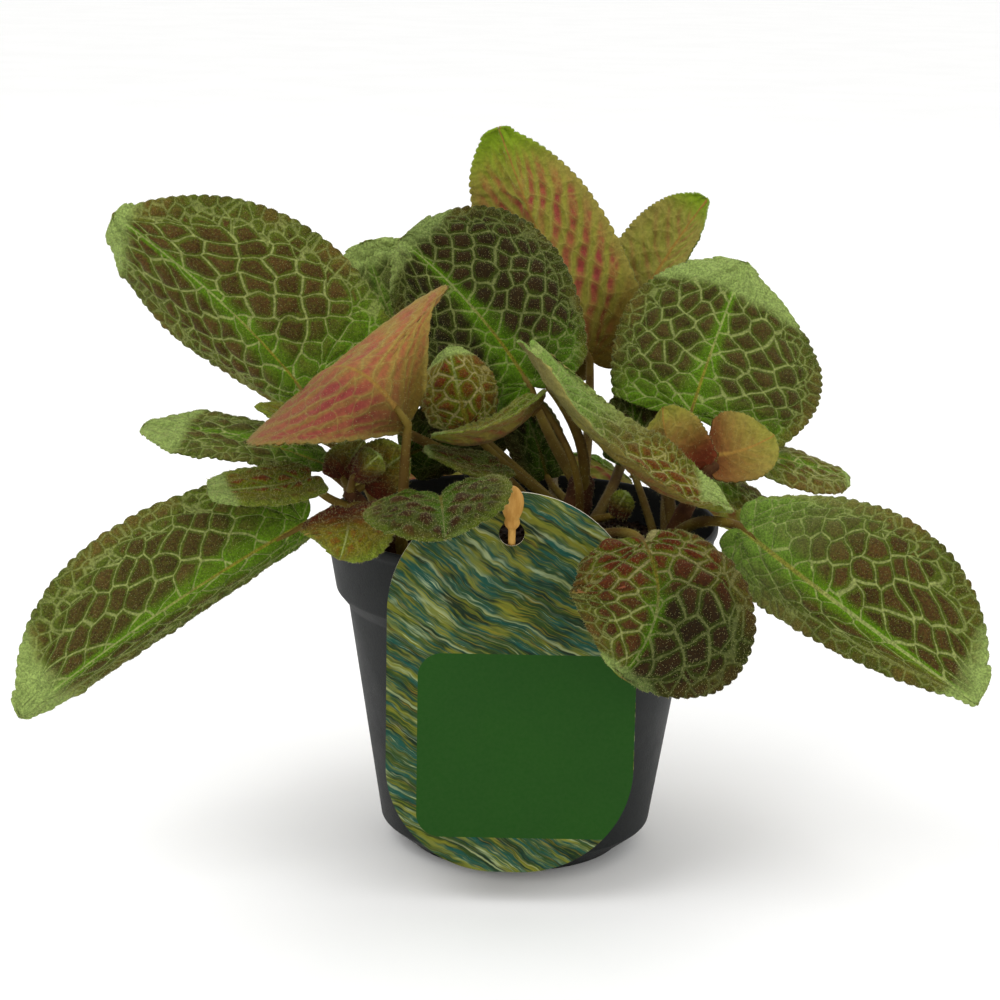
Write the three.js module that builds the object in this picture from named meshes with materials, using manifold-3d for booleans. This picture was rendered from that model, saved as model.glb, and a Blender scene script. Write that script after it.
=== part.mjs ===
// A flame violet in a nursery pot, with a label card hung on a wooden pick.
// Millimetres, +Z up. The origin is the middle of the pot's foot, and the front faces -Y.
import * as THREE from "three";
import { mergeVertices } from "three/addons/utils/BufferGeometryUtils.js";
import Module from "manifold-3d";

const wasm = await Module();
wasm.setup();

const clearance = 0.3; // gap kept between pieces that touch

const pot = {
  height: 102,
  rimRadius: 60,
  collarFoot: { radius: 56, z: 80.5 },
  bodyTop: { radius: 52.3, z: 76 },
  bodyFoot: { radius: 41.6, z: 7.5 },
  footRadius: 32.5,
  footBevel: 1.5,
  wall: 1,
  floor: 1.6,
  segments: 40,
  drains: { count: 8, ringRadius: 23, radius: 3.5, sides: 8 },
};

const soil = {
  level: 90, // mean height of its top
  lump: 1.5,
  rings: 4,
};

const card = {
  width: 71,
  bottom: 11,
  top: 124,
  middleX: -2.3,
  thickness: 0.6,
  cornerRadius: 32,
  hole: { x: -3, z: 112, radius: 3.6 },
};

const pick = {
  leanDegrees: 30, // top towards the front
  headToCard: 18.6,
  crossing: 111.3, // height at which its axis passes the card
  sides: 10,
  // distance down from the tip of the head, and radius there
  profile: [
    [0, 0],
    [0.6, 1.3],
    [2.5, 2.5],
    [5, 3.15],
    [7.6, 3.1],
    [10.2, 2.4],
    [11.9, 1.9],
    [13.4, 2.2],
    [14.6, 1.7],
    [16, 1.05],
    [61, 1],
    [69, 0],
  ],
};

const blade = {
  thickness: 0.8,
  ribHeight: 1.2,
  ribWidth: 0.09, // share of the half blade that the rib's foot takes
  sweep: 0.13, // how far the side veins run forward, as a share of the length
  quilt: 0.5, // swelling between side veins
  tooth: 0.9,
};

const petiole = { sides: 6, steps: 6, footRadius: 2, topRadius: 1.3 };

// Stems: the axis from the root end to the growing tip, with a radius at each end.
const stems = {
  main: { axis: [[13, 0, 66], [14, -2, 88], [18, -5, 114]], radii: [5.2, 4.2] },
  left: { axis: [[-27, -17, 68], [-32, -22, 94], [-50, -33, 116]], radii: [3.4, 2.4] },
  right: { axis: [[38, 2, 68], [42, 0, 94], [58, 4, 118]], radii: [3.4, 2.4] },
};

// Leaves. base, middle and tip lie on the midrib. left and right are the margins at the widest place,
// as seen on the upper face with the tip pointing away. The paired values are for the left and the right
// half: arc is how far it bends over, in degrees, positive where the margin turns down, swell is the share
// of its outline's swelling that the base starts at, higher for a half widest near its base, and blunt is
// the power of the outline, lower for a rounder one. lobe is how far the base reaches back past the
// stalk, as a share of the length. The stalk leaves the stem at a share of its height, by way of via.
const largeLeaf = {
  rows: 20, columns: 3, lobe: 0.08,
  swell: [0.25, 0.25], blunt: [0.62, 0.62], arc: [30, 30],
};
const smallLeaf = { ...largeLeaf, rows: 10, columns: 2, lobe: 0.05 };

const leaves = {
  leaf_upper_left: {
    ...largeLeaf, rows: 22, swell: [0.02, 0.38], blunt: [0.5, 0.95],
    base: [-65, 6, 136], middle: [-91, 16, 162], tip: [-126, 22, 189],
    left: [-104, 32, 147], right: [-61, 12, 184],
    stem: "main", at: 0.62, via: [-22, 14, 124],
  },
  leaf_back_left: {
    ...largeLeaf, rows: 16,
    base: [-31, 40, 134], middle: [-43, 46, 157], tip: [-51, 52, 178],
    left: [-63, 50, 154], right: [-23, 48, 175],
    stem: "main", at: 0.75, via: [-8, 26, 116],
  },
  leaf_centre_back: {
    ...largeLeaf, swell: [0.25, 0.14],
    base: [2, 8, 141], middle: [-17, 24, 163], tip: [-39, 36, 181],
    left: [-28, 26, 141], right: [8, 36, 180],
    stem: "main", at: 0.96, via: [6, 6, 128],
  },
  leaf_pink_cupped: {
    ...largeLeaf, rows: 18, lobe: 0.03, swell: [0.11, 0.02], blunt: [1.09, 0.87], arc: [20, 20],
    base: [-34, -38, 138], middle: [-49.1, -41.7, 154.2], tip: [-64.5, -9.1, 142.5],
    left: [-23.3, -16.5, 174.6], right: [-73.6, -60.3, 137.2],
    stem: "left", at: 0.5, via: [-35, -40, 116],
  },
  leaf_young_centre: {
    ...smallLeaf,
    base: [-17, -4, 131], middle: [-20, -2, 143], tip: [-23, 6, 153],
    left: [-31, 4, 136], right: [-9, 4, 143],
    stem: "main", at: 0.8, via: [-2, -4, 114],
  },
  leaf_trough: {
    ...largeLeaf, rows: 18, lobe: 0.22, swell: [0.14, 0.45], blunt: [0.8, 0.9], arc: [-20, -30],
    base: [8, -12, 145.4], middle: [34, -21, 120], tip: [62, -19, 110],
    left: [42, -4, 127], right: [21, -38, 136],
    stem: "main", at: 0.86, via: [23, -14, 126],
  },
  leaf_folded_left: {
    ...smallLeaf,
    base: [5, -14, 140], middle: [-10, -22, 130], tip: [-27, -22, 131],
    left: [-11, -34, 136], right: [-12, -12, 134],
    stem: "main", at: 0.66, via: [22, -22, 118],
  },
  leaf_folded_low: {
    ...smallLeaf,
    base: [-7, -14, 121], middle: [-18, -22, 123], tip: [-29, -26, 128],
    left: [-20, -34, 123], right: [-18, -12, 125],
    stem: "main", at: 0.6, via: [3, -14, 110],
  },
  leaf_top: {
    ...largeLeaf, swell: [0.4, 0.25], blunt: [0.95, 0.62],
    base: [22, 58, 140], middle: [5, 54, 179], tip: [-9, 50, 215],
    left: [34, 60, 169], right: [-19, 62, 189],
    stem: "main", at: 0.72, via: [22, 32, 112],
  },
  leaf_top_right: {
    ...largeLeaf, rows: 16, swell: [0.25, 0.4], blunt: [0.8, 0.65],
    base: [39, 84, 156], middle: [49, 86, 173], tip: [60, 84, 190],
    left: [55, 80, 173], right: [31, 89.3, 174],
    stem: "main", at: 0.58, via: [40, 42, 106],
  },
  leaf_right_upper: {
    ...largeLeaf, lobe: 0.04, swell: [0.25, 0.3], blunt: [0.62, 1.1],
    base: [52, 22, 130], middle: [60, 36, 151], tip: [70, 50, 174],
    left: [28, 38, 148], right: [98.2, 42.5, 147],
    stem: "right", at: 0.6, via: [42, 20, 114],
  },
  leaf_right_lower: {
    ...largeLeaf, rows: 22, lobe: 0.06, swell: [0.1, 0.48], blunt: [0.68, 1.1],
    base: [64, -34, 108], middle: [88, -60, 94], tip: [127, -78, 70],
    left: [104.8, -45.6, 117.8], right: [77.9, -50.9, 82.4],
    stem: "right", at: 0.52, via: [52, -18, 110],
  },
  leaf_over_card: {
    ...largeLeaf, rows: 18, swell: [0.1, 0.25], blunt: [0.76, 0.62],
    base: [34, -66, 111], middle: [37, -80, 96], tip: [28, -80, 77],
    left: [64, -82, 95.5], right: [14, -78, 101],
    stem: "main", at: 0.58, via: [31, -40, 112],
  },
  leaf_left_lower: {
    ...largeLeaf, rows: 22, lobe: 0.05, swell: [0.25, 0.2], blunt: [0.62, 0.85],
    base: [-63, -38, 108], middle: [-102, -56, 86], tip: [-141, -66, 57],
    left: [-102.2, -46.6, 76.5], right: [-123.5, -50, 103.3],
    stem: "left", at: 0.62, via: [-50, -34, 110],
  },
  leaf_left_rolled: {
    ...smallLeaf, blunt: [0.4, 0.4],
    base: [-61, -38, 122], middle: [-72, -47, 121], tip: [-89, -54, 121],
    left: [-74, -57, 117], right: [-75, -39, 125],
    stem: "left", at: 0.88, via: [-58, -37, 114],
  },
  leaf_left_middle: {
    ...smallLeaf, rows: 14, swell: [0.08, 0.08],
    base: [-60, -20, 122], middle: [-84, -12, 127], tip: [-114, -4, 129],
    left: [-84, -28, 123], right: [-89, 6, 131],
    stem: "left", at: 0.8, via: [-50, -22, 116],
  },
  leaf_left_tip: {
    ...smallLeaf,
    base: [-63, -10, 128], middle: [-70, -8, 133], tip: [-80, -4, 136],
    left: [-69, -15, 131], right: [-72, -1, 137],
    stem: "left", at: 0.66, via: [-50, -3, 125],
  },
  leaf_left_hanging: {
    ...smallLeaf,
    base: [-50, -47, 115], middle: [-49, -58, 112], tip: [-51, -62, 104],
    left: [-36, -56, 114], right: [-62, -56, 110],
    stem: "left", at: 0.9, via: [-49, -41, 115],
  },
  leaf_over_pick: {
    ...smallLeaf, rows: 14,
    base: [-23, -64, 123], middle: [-22, -78, 122], tip: [-21, -92, 118],
    left: [-4, -76, 129], right: [-43, -76, 121],
    stem: "main", at: 0.52, via: [-10, -40, 124],
  },
  leaf_right_thin: {
    ...smallLeaf, rows: 14,
    base: [71, 16, 120], middle: [87, 22, 115], tip: [103, 26, 110],
    left: [88, 36, 116], right: [84, 8, 111],
    stem: "right", at: 0.85, via: [62, 10, 120],
  },
  leaf_inner_left: {
    ...smallLeaf, rows: 8,
    base: [-36, 44, 111], middle: [-18, 46, 118], tip: [3, 45, 127],
    left: [-24, 45, 130], right: [-11, 46, 109],
    stem: "left", at: 0.5, via: [-37, 16, 98],
  },
  leaf_inner_middle: {
    ...smallLeaf, rows: 8,
    base: [8, 26, 109], middle: [4, 29, 121], tip: [-2, 31, 134],
    left: [-5, 30, 119], right: [12, 29, 124],
    stem: "main", at: 0.83, via: [9, 14, 108],
  },
  leaf_inner_right: {
    ...smallLeaf, rows: 8,
    base: [34, 26, 113], middle: [35, 29, 124], tip: [33, 31, 137],
    left: [25, 28, 124], right: [45, 30, 126],
    stem: "right", at: 0.4, via: [38, 14, 106],
  },
  leaf_rear_left: {
    ...largeLeaf, rows: 14, columns: 2,
    base: [-22, 62, 107], middle: [-36, 86, 99], tip: [-50, 100, 72],
    left: [-60, 76, 92], right: [-14, 94, 92],
    stem: "main", at: 0.54, via: [-10, 32, 104],
  },
  leaf_rear_middle: {
    ...largeLeaf, rows: 14, columns: 2,
    base: [14, 66, 107], middle: [16, 86, 94], tip: [16, 92, 66],
    left: [-5, 84, 86], right: [38, 84, 86],
    stem: "main", at: 0.66, via: [6, 38, 106],
  },
  leaf_rear_right: {
    ...largeLeaf, rows: 14, columns: 2,
    base: [50, 44, 108], middle: [68, 62, 102], tip: [82, 80, 76],
    left: [50, 82, 92], right: [86, 44, 90],
    stem: "right", at: 0.5, via: [44, 26, 108],
  },
};

// Young leaves too close to a growing tip to stand apart from it: they are one piece with its stem.
const youngLeaf = { ...smallLeaf, rows: 6 };
const youngLeaves = {
  left: [
    {
      ...youngLeaf, from: 1,
      base: [-49, -37, 121], middle: [-45, -42, 126], tip: [-41, -43, 130],
      left: [-47, -36, 129], right: [-41, -38, 123],
    },
    {
      ...youngLeaf, from: 1,
      base: [-52, -30, 120], middle: [-50, -26, 125], tip: [-47, -20, 129],
      left: [-57, -22, 126], right: [-43, -22, 125],
    },
    {
      ...youngLeaf, from: 1,
      base: [-46, -31, 118], middle: [-40, -29, 123], tip: [-34, -27, 127],
      left: [-46, -27, 129], right: [-35, -31, 118],
    },
  ],
  main: [
    {
      ...youngLeaf, from: 0.74,
      base: [28, -15, 106], middle: [29, -19, 111], tip: [31, -21, 115],
      left: [26, -16, 111], right: [33, -19, 110],
    },
  ],
  right: [
    {
      ...youngLeaf, from: 0.9,
      base: [52, 4, 115], middle: [45, 4, 124], tip: [43, 12, 134],
      left: [57, -1, 126], right: [34, 14, 123],
    },
    {
      ...youngLeaf, from: 1,
      base: [58, 6, 121], middle: [67, 8, 122], tip: [77, 12, 126],
      left: [68, 1, 114], right: [63, 13, 133],
    },
  ],
};

const finishes = {
  plastic: { color: "#34373a", roughness: 0.55, metalness: 0 },
  compost: { color: "#2c1a0b", roughness: 1, metalness: 0 },
  card: { color: "#3a5c2d", roughness: 0.45, metalness: 0 },
  wood: { color: "#b98d4a", roughness: 0.7, metalness: 0 },
  stem: { color: "#6b4a25", roughness: 0.8, metalness: 0 },
  leaf: { color: "#4d5a26", roughness: 0.85, metalness: 0 },
};

const point = (xyz) => new THREE.Vector3(...xyz);
const radians = THREE.MathUtils.degToRad;

function solidOf(vertices, triangles) {
  const positions = new Float32Array(vertices.flatMap((v) => [v.x, v.y, v.z]));
  const mesh = new wasm.Mesh({
    numProp: 3,
    vertProperties: positions,
    triVerts: new Uint32Array(triangles.flat()),
  });
  return new wasm.Manifold(mesh);
}

function solidOfGeometry(geometry) {
  geometry.deleteAttribute("normal");
  geometry.deleteAttribute("uv");
  const merged = mergeVertices(geometry, 1e-4);
  const mesh = new wasm.Mesh({
    numProp: 3,
    vertProperties: new Float32Array(merged.attributes.position.array),
    triVerts: new Uint32Array(merged.index.array),
  });
  return new wasm.Manifold(mesh);
}

function largestBody(solid) {
  const bodies = solid.decompose();
  return bodies.reduce((best, body) => (body.volume() > best.volume() ? body : best));
}

function meshOf(name, solid, finish) {
  const made = solid.getMesh();
  const positions = new Float32Array(made.numVert * 3);
  for (let i = 0; i < made.numVert; i++) {
    positions.set(made.vertProperties.subarray(i * made.numProp, i * made.numProp + 3), i * 3);
  }
  const geometry = new THREE.BufferGeometry();
  geometry.setAttribute("position", new THREE.BufferAttribute(positions, 3));
  geometry.setIndex(new THREE.BufferAttribute(new Uint32Array(made.triVerts), 1));
  geometry.computeVertexNormals();
  const mesh = new THREE.Mesh(geometry, new THREE.MeshStandardMaterial(finishes[finish]));
  mesh.name = name;
  return mesh;
}

// A round bar along a curve, its radius given by a function of the share of its length.
function taperedBar(curve, steps, sides, radiusAt) {
  const vertices = [];
  const triangles = [];
  const across = new THREE.Vector3(0.31, 0.94, 0.12);
  const tangent = new THREE.Vector3();
  for (let i = 0; i <= steps; i++) {
    const share = i / steps;
    const centre = curve.getPoint(share);
    tangent.copy(curve.getTangent(share));
    across.addScaledVector(tangent, -across.dot(tangent)).normalize();
    const up = tangent.clone().cross(across);
    for (let j = 0; j < sides; j++) {
      const angle = (2 * Math.PI * j) / sides;
      const radius = radiusAt(share);
      vertices.push(
        centre
          .clone()
          .addScaledVector(across, radius * Math.cos(angle))
          .addScaledVector(up, radius * Math.sin(angle)),
      );
    }
  }
  for (let i = 0; i < steps; i++) {
    for (let j = 0; j < sides; j++) {
      const a = i * sides + j;
      const b = i * sides + ((j + 1) % sides);
      triangles.push([a, b, b + sides], [a, b + sides, a + sides]);
    }
  }
  const top = steps * sides;
  for (let j = 1; j < sides - 1; j++) {
    triangles.push([0, j + 1, j], [top, top + j, top + j + 1]);
  }
  return solidOf(vertices, triangles);
}

// The leaf's upper face as a function of u, from base to tip, and v, from left margin to right.
function leafSurface(leaf) {
  const base = point(leaf.base);
  const tip = point(leaf.tip);
  const control = point(leaf.middle)
    .multiplyScalar(2)
    .addScaledVector(base, -0.5)
    .addScaledVector(tip, -0.5);
  const midrib = new THREE.QuadraticBezierCurve3(base, control, tip);
  const length = midrib.getLength();
  const swelling = (u, side) => {
    const share = leaf.swell[side] + (1 - leaf.swell[side]) * u;
    return Math.sin(Math.PI * share) ** leaf.blunt[side];
  };
  const widest = 0.42;
  const widestTangent = midrib.getTangent(widest);
  const halves = [leaf.left, leaf.right].map((margin, side) => {
    const outward = point(margin).sub(midrib.getPoint(widest));
    outward.addScaledVector(widestTangent, -outward.dot(widestTangent));
    const width = outward.length();
    outward.normalize();
    const normal = outward.clone().cross(widestTangent).multiplyScalar(side ? 1 : -1);
    return { outward, normal, width, arc: radians(leaf.arc[side]) };
  });
  const turn = new THREE.Quaternion();

  return (u, v) => {
    const side = v < 0 ? 0 : 1;
    const half = halves[side];
    const reach = Math.abs(v);
    const station =
      u +
      blade.sweep * reach ** 1.6 * 4 * u * (1 - u) -
      leaf.lobe * Math.sin(Math.PI * reach ** 0.75) * (1 - u) ** 5;
    const onRib = THREE.MathUtils.clamp(station, 0, 1);
    const tangent = midrib.getTangent(onRib);
    turn.setFromUnitVectors(widestTangent, tangent);
    const outward = half.outward.clone().applyQuaternion(turn);
    const normal = half.normal.clone().applyQuaternion(turn);
    const bend = half.arc / 2;
    const across = Math.abs(bend) < 0.01
      ? reach
      : (Math.sin(bend) - Math.sin(bend - 2 * bend * reach)) / (2 * Math.sin(bend));
    const rise = Math.abs(bend) < 0.01
      ? 0
      : (Math.cos(bend - 2 * bend * reach) - Math.cos(bend)) / (2 * Math.sin(bend));
    const cell = Math.abs(Math.sin((Math.PI * leaf.rows * u) / 2));
    const width = half.width * swelling(u, side) + (reach === 1 ? blade.tooth * cell : 0);
    return midrib
      .getPoint(onRib)
      .addScaledVector(tangent, (station - onRib) * length)
      .addScaledVector(outward, width * across)
      .addScaledVector(normal, width * rise + blade.quilt * cell * Math.sin(Math.PI * reach));
  };
}

function surfaceNormal(surface, u, v) {
  const step = 0.01;
  const sides = Math.abs(v) < step ? [-1, 1] : [Math.sign(v)];
  const normal = new THREE.Vector3();
  for (const side of sides) {
    const inner = sides.length > 1 ? 0 : v - side * step;
    const outer = sides.length > 1 ? side * 3 * step : v;
    const u0 = Math.min(u, 1 - 2 * step);
    const across = surface(u0, outer).sub(surface(u0, inner)).multiplyScalar(side);
    const along = surface(u0 + step, v).sub(surface(Math.max(u0 - step, 0), v));
    normal.add(across.cross(along).normalize());
  }
  return normal.normalize();
}

// The blade: upper and lower faces split alike, a rib under the middle, and one vertex at the tip.
function bladeSolid(leaf, surface) {
  const stops = leaf.columns === 3 ? [blade.ribWidth, 0.55, 1] : [0.5, 1];
  const across = [...stops.map((v) => -v).reverse(), 0, ...stops];
  const wide = across.length;
  const upper = [];
  const lower = [];
  for (let i = 0; i <= leaf.rows; i++) {
    const u = i / leaf.rows;
    for (const v of i < leaf.rows ? across : [0]) {
      const middle = surface(u, v);
      const normal = surfaceNormal(surface, u, v);
      const rib = v === 0 ? blade.ribHeight * (1 - u) ** 0.8 : 0;
      upper.push(middle.clone().addScaledVector(normal, blade.thickness / 2));
      lower.push(middle.addScaledVector(normal, -blade.thickness / 2 - rib));
    }
  }
  const under = upper.length;
  const tip = leaf.rows * wide;
  const triangles = [];
  const both = (a, b, c) => triangles.push([a, b, c], [under + a, under + c, under + b]);
  const wall = (a, b) => triangles.push([a, under + a, under + b], [a, under + b, b]);
  for (let i = 0; i < leaf.rows; i++) {
    for (let j = 0; j < wide - 1; j++) {
      const a = i * wide + j;
      if (i === leaf.rows - 1) {
        both(a, a + 1, tip);
      } else {
        both(a, a + 1, a + wide + 1);
        both(a, a + wide + 1, a + wide);
      }
    }
  }
  for (let j = 0; j < wide - 1; j++) {
    wall(j, j + 1);
  }
  for (let i = 0; i < leaf.rows; i++) {
    const next = i === leaf.rows - 1 ? tip : (i + 1) * wide;
    wall(next, i * wide);
    wall(i * wide + wide - 1, next === tip ? tip : next + wide - 1);
  }
  return solidOf([...upper, ...lower], triangles);
}

function stemCurve(name) {
  return new THREE.QuadraticBezierCurve3(...stems[name].axis.map(point));
}

function stemSolid(name, extra) {
  const [foot, tip] = stems[name].radii;
  const rounded = (share) => (share === 1 ? 0.55 : 1);
  return taperedBar(stemCurve(name), 8, 8, (share) => {
    return (foot + (tip - foot) * share) * rounded(share) + extra;
  });
}

// The stalk, from the stem's axis to a little way under the blade.
function stalkSolid(leaf, surface, foot) {
  const seat = surface(0.1, 0).addScaledVector(surfaceNormal(surface, 0.1, 0), -0.7);
  const arrival = surface(0, 0).addScaledVector(surfaceNormal(surface, 0, 0), -0.9);
  const route = new THREE.CurvePath();
  const via = leaf.via ? point(leaf.via) : foot.clone().lerp(arrival, 0.5);
  route.add(new THREE.QuadraticBezierCurve3(foot, via, arrival));
  const sweep = new THREE.CatmullRomCurve3(
    [...route.curves[0].getPoints(4), seat],
    false,
    "centripetal",
  );
  const { sides, steps, footRadius, topRadius } = petiole;
  const slim = leaf.columns === 3 ? 1 : 0.75;
  return taperedBar(sweep, steps, leaf.columns === 3 ? sides : sides - 1, (share) => {
    return slim * (footRadius + (topRadius - footRadius) * share) * (share === 1 ? 0.7 : 1);
  });
}

function leafSolid(leaf) {
  const surface = leafSurface(leaf);
  const foot = stemCurve(leaf.stem).getPoint(leaf.at);
  const whole = bladeSolid(leaf, surface).add(stalkSolid(leaf, surface, foot));
  return largestBody(whole.subtract(stemSolid(leaf.stem, clearance)));
}

function shootSolid(name) {
  let shoot = stemSolid(name, 0);
  for (const leaf of youngLeaves[name]) {
    const surface = leafSurface(leaf);
    const foot = stemCurve(name).getPoint(leaf.from);
    shoot = shoot.add(bladeSolid(leaf, surface)).add(stalkSolid(leaf, surface, foot));
  }
  return largestBody(shoot);
}

// The pot's outer outline from the foot to the rim, moved inwards by a wall of a given thickness.
function potOutline(inset) {
  const { footRadius, footBevel, bodyFoot, bodyTop, collarFoot, rimRadius, height } = pot;
  return [
    [footRadius, 0],
    [footRadius + footBevel, footBevel],
    [bodyFoot.radius, bodyFoot.z],
    [bodyTop.radius, bodyTop.z],
    [collarFoot.radius, collarFoot.z],
    [rimRadius, height],
  ].map(([radius, z]) => new THREE.Vector2(radius - inset, z));
}

function lathe(outline) {
  const geometry = new THREE.LatheGeometry(outline, pot.segments);
  geometry.rotateX(Math.PI / 2);
  return solidOfGeometry(geometry);
}

function potSolid() {
  const outer = potOutline(0);
  const inner = potOutline(pot.wall).slice(2).reverse();
  const outline = [
    new THREE.Vector2(0, 0),
    ...outer,
    ...inner,
    new THREE.Vector2(pot.footRadius, pot.floor),
    new THREE.Vector2(0, pot.floor),
  ];
  let shell = lathe(outline);
  const { count, ringRadius, radius, sides } = pot.drains;
  for (let i = 0; i < count; i++) {
    const angle = (2 * Math.PI * (i + 0.5)) / count;
    const drain = new THREE.CylinderGeometry(radius, radius, 4 * pot.floor, sides);
    drain.rotateX(Math.PI / 2);
    drain.translate(ringRadius * Math.cos(angle), ringRadius * Math.sin(angle), pot.floor);
    shell = shell.subtract(solidOfGeometry(drain));
  }
  return shell;
}

function soilLump(x, y) {
  const broad = Math.sin(0.21 * x + 1.3) * Math.cos(0.17 * y - 0.6);
  const fine = Math.sin(0.53 * x - 0.41 * y) * Math.cos(0.47 * y + 0.3 * x);
  return soil.lump * (0.6 * broad + 0.5 * fine);
}

function soilSolid() {
  const inset = pot.wall + clearance;
  const slope = (pot.rimRadius - pot.collarFoot.radius) / (pot.height - pot.collarFoot.z);
  const edge = pot.collarFoot.radius + slope * (soil.level - pot.collarFoot.z) - inset;
  const side = potOutline(inset).slice(2, 5);
  const foot = new THREE.Vector2(pot.footRadius - clearance, pot.floor + clearance);
  const top = [];
  for (let i = 0; i <= soil.rings; i++) {
    top.push(new THREE.Vector2(edge * (1 - i / soil.rings), soil.level));
  }
  const outline = [new THREE.Vector2(0, foot.y), foot, ...side, ...top];
  const geometry = new THREE.LatheGeometry(outline, pot.segments);
  geometry.rotateX(Math.PI / 2);
  const position = geometry.attributes.position;
  for (let i = 0; i < position.count; i++) {
    const [x, y, z] = [position.getX(i), position.getY(i), position.getZ(i)];
    if (z > soil.level - 0.01 && Math.hypot(x, y) < edge - 0.01) {
      position.setZ(i, z + soilLump(x, y));
    }
  }
  let body = solidOfGeometry(geometry).subtract(pickSolid(clearance));
  for (const name of Object.keys(stems)) {
    body = body.subtract(stemSolid(name, clearance));
  }
  return largestBody(body);
}

function cardSolid() {
  const half = card.width / 2;
  const { bottom, top, cornerRadius, hole } = card;
  const outline = new THREE.Shape();
  outline.moveTo(-half + cornerRadius, bottom);
  outline.lineTo(half - cornerRadius, bottom);
  outline.absarc(half - cornerRadius, bottom + cornerRadius, cornerRadius, -Math.PI / 2, 0);
  outline.lineTo(half, top - half);
  outline.absarc(0, top - half, half, 0, Math.PI);
  outline.lineTo(-half, bottom + cornerRadius);
  outline.absarc(-half + cornerRadius, bottom + cornerRadius, cornerRadius, Math.PI, 1.5 * Math.PI);
  const opening = new THREE.Path();
  opening.absarc(hole.x - card.middleX, hole.z, hole.radius, 0, 2 * Math.PI, true);
  outline.holes.push(opening);
  const geometry = new THREE.ExtrudeGeometry(outline, {
    depth: card.thickness,
    bevelEnabled: false,
    curveSegments: 10,
  });
  geometry.rotateX(Math.PI / 2);
  geometry.translate(card.middleX, -pot.rimRadius - clearance, 0);
  return solidOfGeometry(geometry);
}

function pickSolid(extra) {
  const outline = pick.profile.map(([down, radius], i) => {
    const end = radius === 0;
    const shift = end ? (i ? extra : -extra) : 0;
    return new THREE.Vector2(end ? 0 : radius + extra, -down - shift);
  });
  const geometry = new THREE.LatheGeometry(outline.reverse(), pick.sides);
  geometry.translate(0, pick.headToCard, 0);
  geometry.rotateX(Math.PI / 2 + radians(pick.leanDegrees));
  const front = -pot.rimRadius - clearance - card.thickness / 2;
  geometry.translate(card.hole.x, front, pick.crossing);
  return solidOfGeometry(geometry);
}

const plant = new THREE.Group();
plant.add(meshOf("stem_main", shootSolid("main"), "stem"));
plant.add(meshOf("shoot_left", shootSolid("left"), "stem"));
plant.add(meshOf("shoot_right", shootSolid("right"), "stem"));
for (const [name, leaf] of Object.entries(leaves)) {
  plant.add(meshOf(name, leafSolid(leaf), "leaf"));
}

const label = new THREE.Group();
label.add(meshOf("label_card", cardSolid(), "card"));
label.add(meshOf("label_pick", pickSolid(0), "wood"));

const potted = new THREE.Group();
potted.add(meshOf("pot", potSolid(), "plastic"));
potted.add(meshOf("soil", soilSolid(), "compost"));
potted.add(plant, label);

export default potted;
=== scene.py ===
import math
import random

import bmesh
import bpy
from mathutils import Matrix, Quaternion, Vector, noise


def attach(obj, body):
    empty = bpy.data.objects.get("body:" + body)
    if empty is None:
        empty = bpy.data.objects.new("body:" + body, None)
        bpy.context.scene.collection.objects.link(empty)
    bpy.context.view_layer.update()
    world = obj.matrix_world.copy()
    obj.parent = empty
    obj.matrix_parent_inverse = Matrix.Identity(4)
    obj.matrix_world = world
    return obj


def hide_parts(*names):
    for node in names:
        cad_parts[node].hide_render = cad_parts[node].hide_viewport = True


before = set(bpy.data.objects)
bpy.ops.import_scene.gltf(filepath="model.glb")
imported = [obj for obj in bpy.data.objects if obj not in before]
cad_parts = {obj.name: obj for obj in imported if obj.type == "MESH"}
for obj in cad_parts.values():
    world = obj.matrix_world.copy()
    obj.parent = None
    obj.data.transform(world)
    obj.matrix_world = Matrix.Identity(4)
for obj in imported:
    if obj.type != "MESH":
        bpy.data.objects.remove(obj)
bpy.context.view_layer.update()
scene = bpy.context.scene
mm = 0.001
touching = 0.000005  # vertices closer than this are merged, in metres


def newObject(name, data):
    obj = bpy.data.objects.new(name, data)
    scene.collection.objects.link(obj)
    return obj


def meshObject(name, bm, materials=()):
    mesh = bpy.data.meshes.new(name)
    bm.to_mesh(mesh)
    bm.free()
    for material in materials:
        mesh.materials.append(material)
    return newObject(name, mesh)


# Merges what touches and turns the faces outwards.
def closed(bm):
    bmesh.ops.remove_doubles(bm, verts=bm.verts, dist=touching)
    bmesh.ops.recalc_face_normals(bm, faces=bm.faces)
    return bm


view = {"eye": (-6.5, -742, 285), "aim": (-6.5, 0, 107), "lens": 90.4, "sensor": 36, "roll": 1.1}


def placeCamera():
    cameraData = bpy.data.cameras.new("camera")
    cameraData.lens = view["lens"]
    cameraData.sensor_width = view["sensor"]
    cameraData.clip_start = 0.01
    camera = newObject("camera", cameraData)
    eye = Vector(view["eye"]) * mm
    facing = (Vector(view["aim"]) * mm - eye).to_track_quat("-Z", "Y")
    facing = facing @ Quaternion((0, 0, 1), math.radians(view["roll"]))
    camera.matrix_world = Matrix.Translation(eye) @ facing.to_matrix().to_4x4()
    scene.camera = camera


studio = {
    "sky": 1.03,
    "floor": 25,  # half its width, in metres
    "aim": (0, 0, 0.1),
    "lamps": [
        # place, size in metres, watts
        ((-0.9, -1.0, 1.5), 1.1, 9),
        ((1.2, -0.9, 1.0), 1.2, 3),
        ((0.2, 1.2, 1.4), 1.0, 5),
    ],
}


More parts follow.
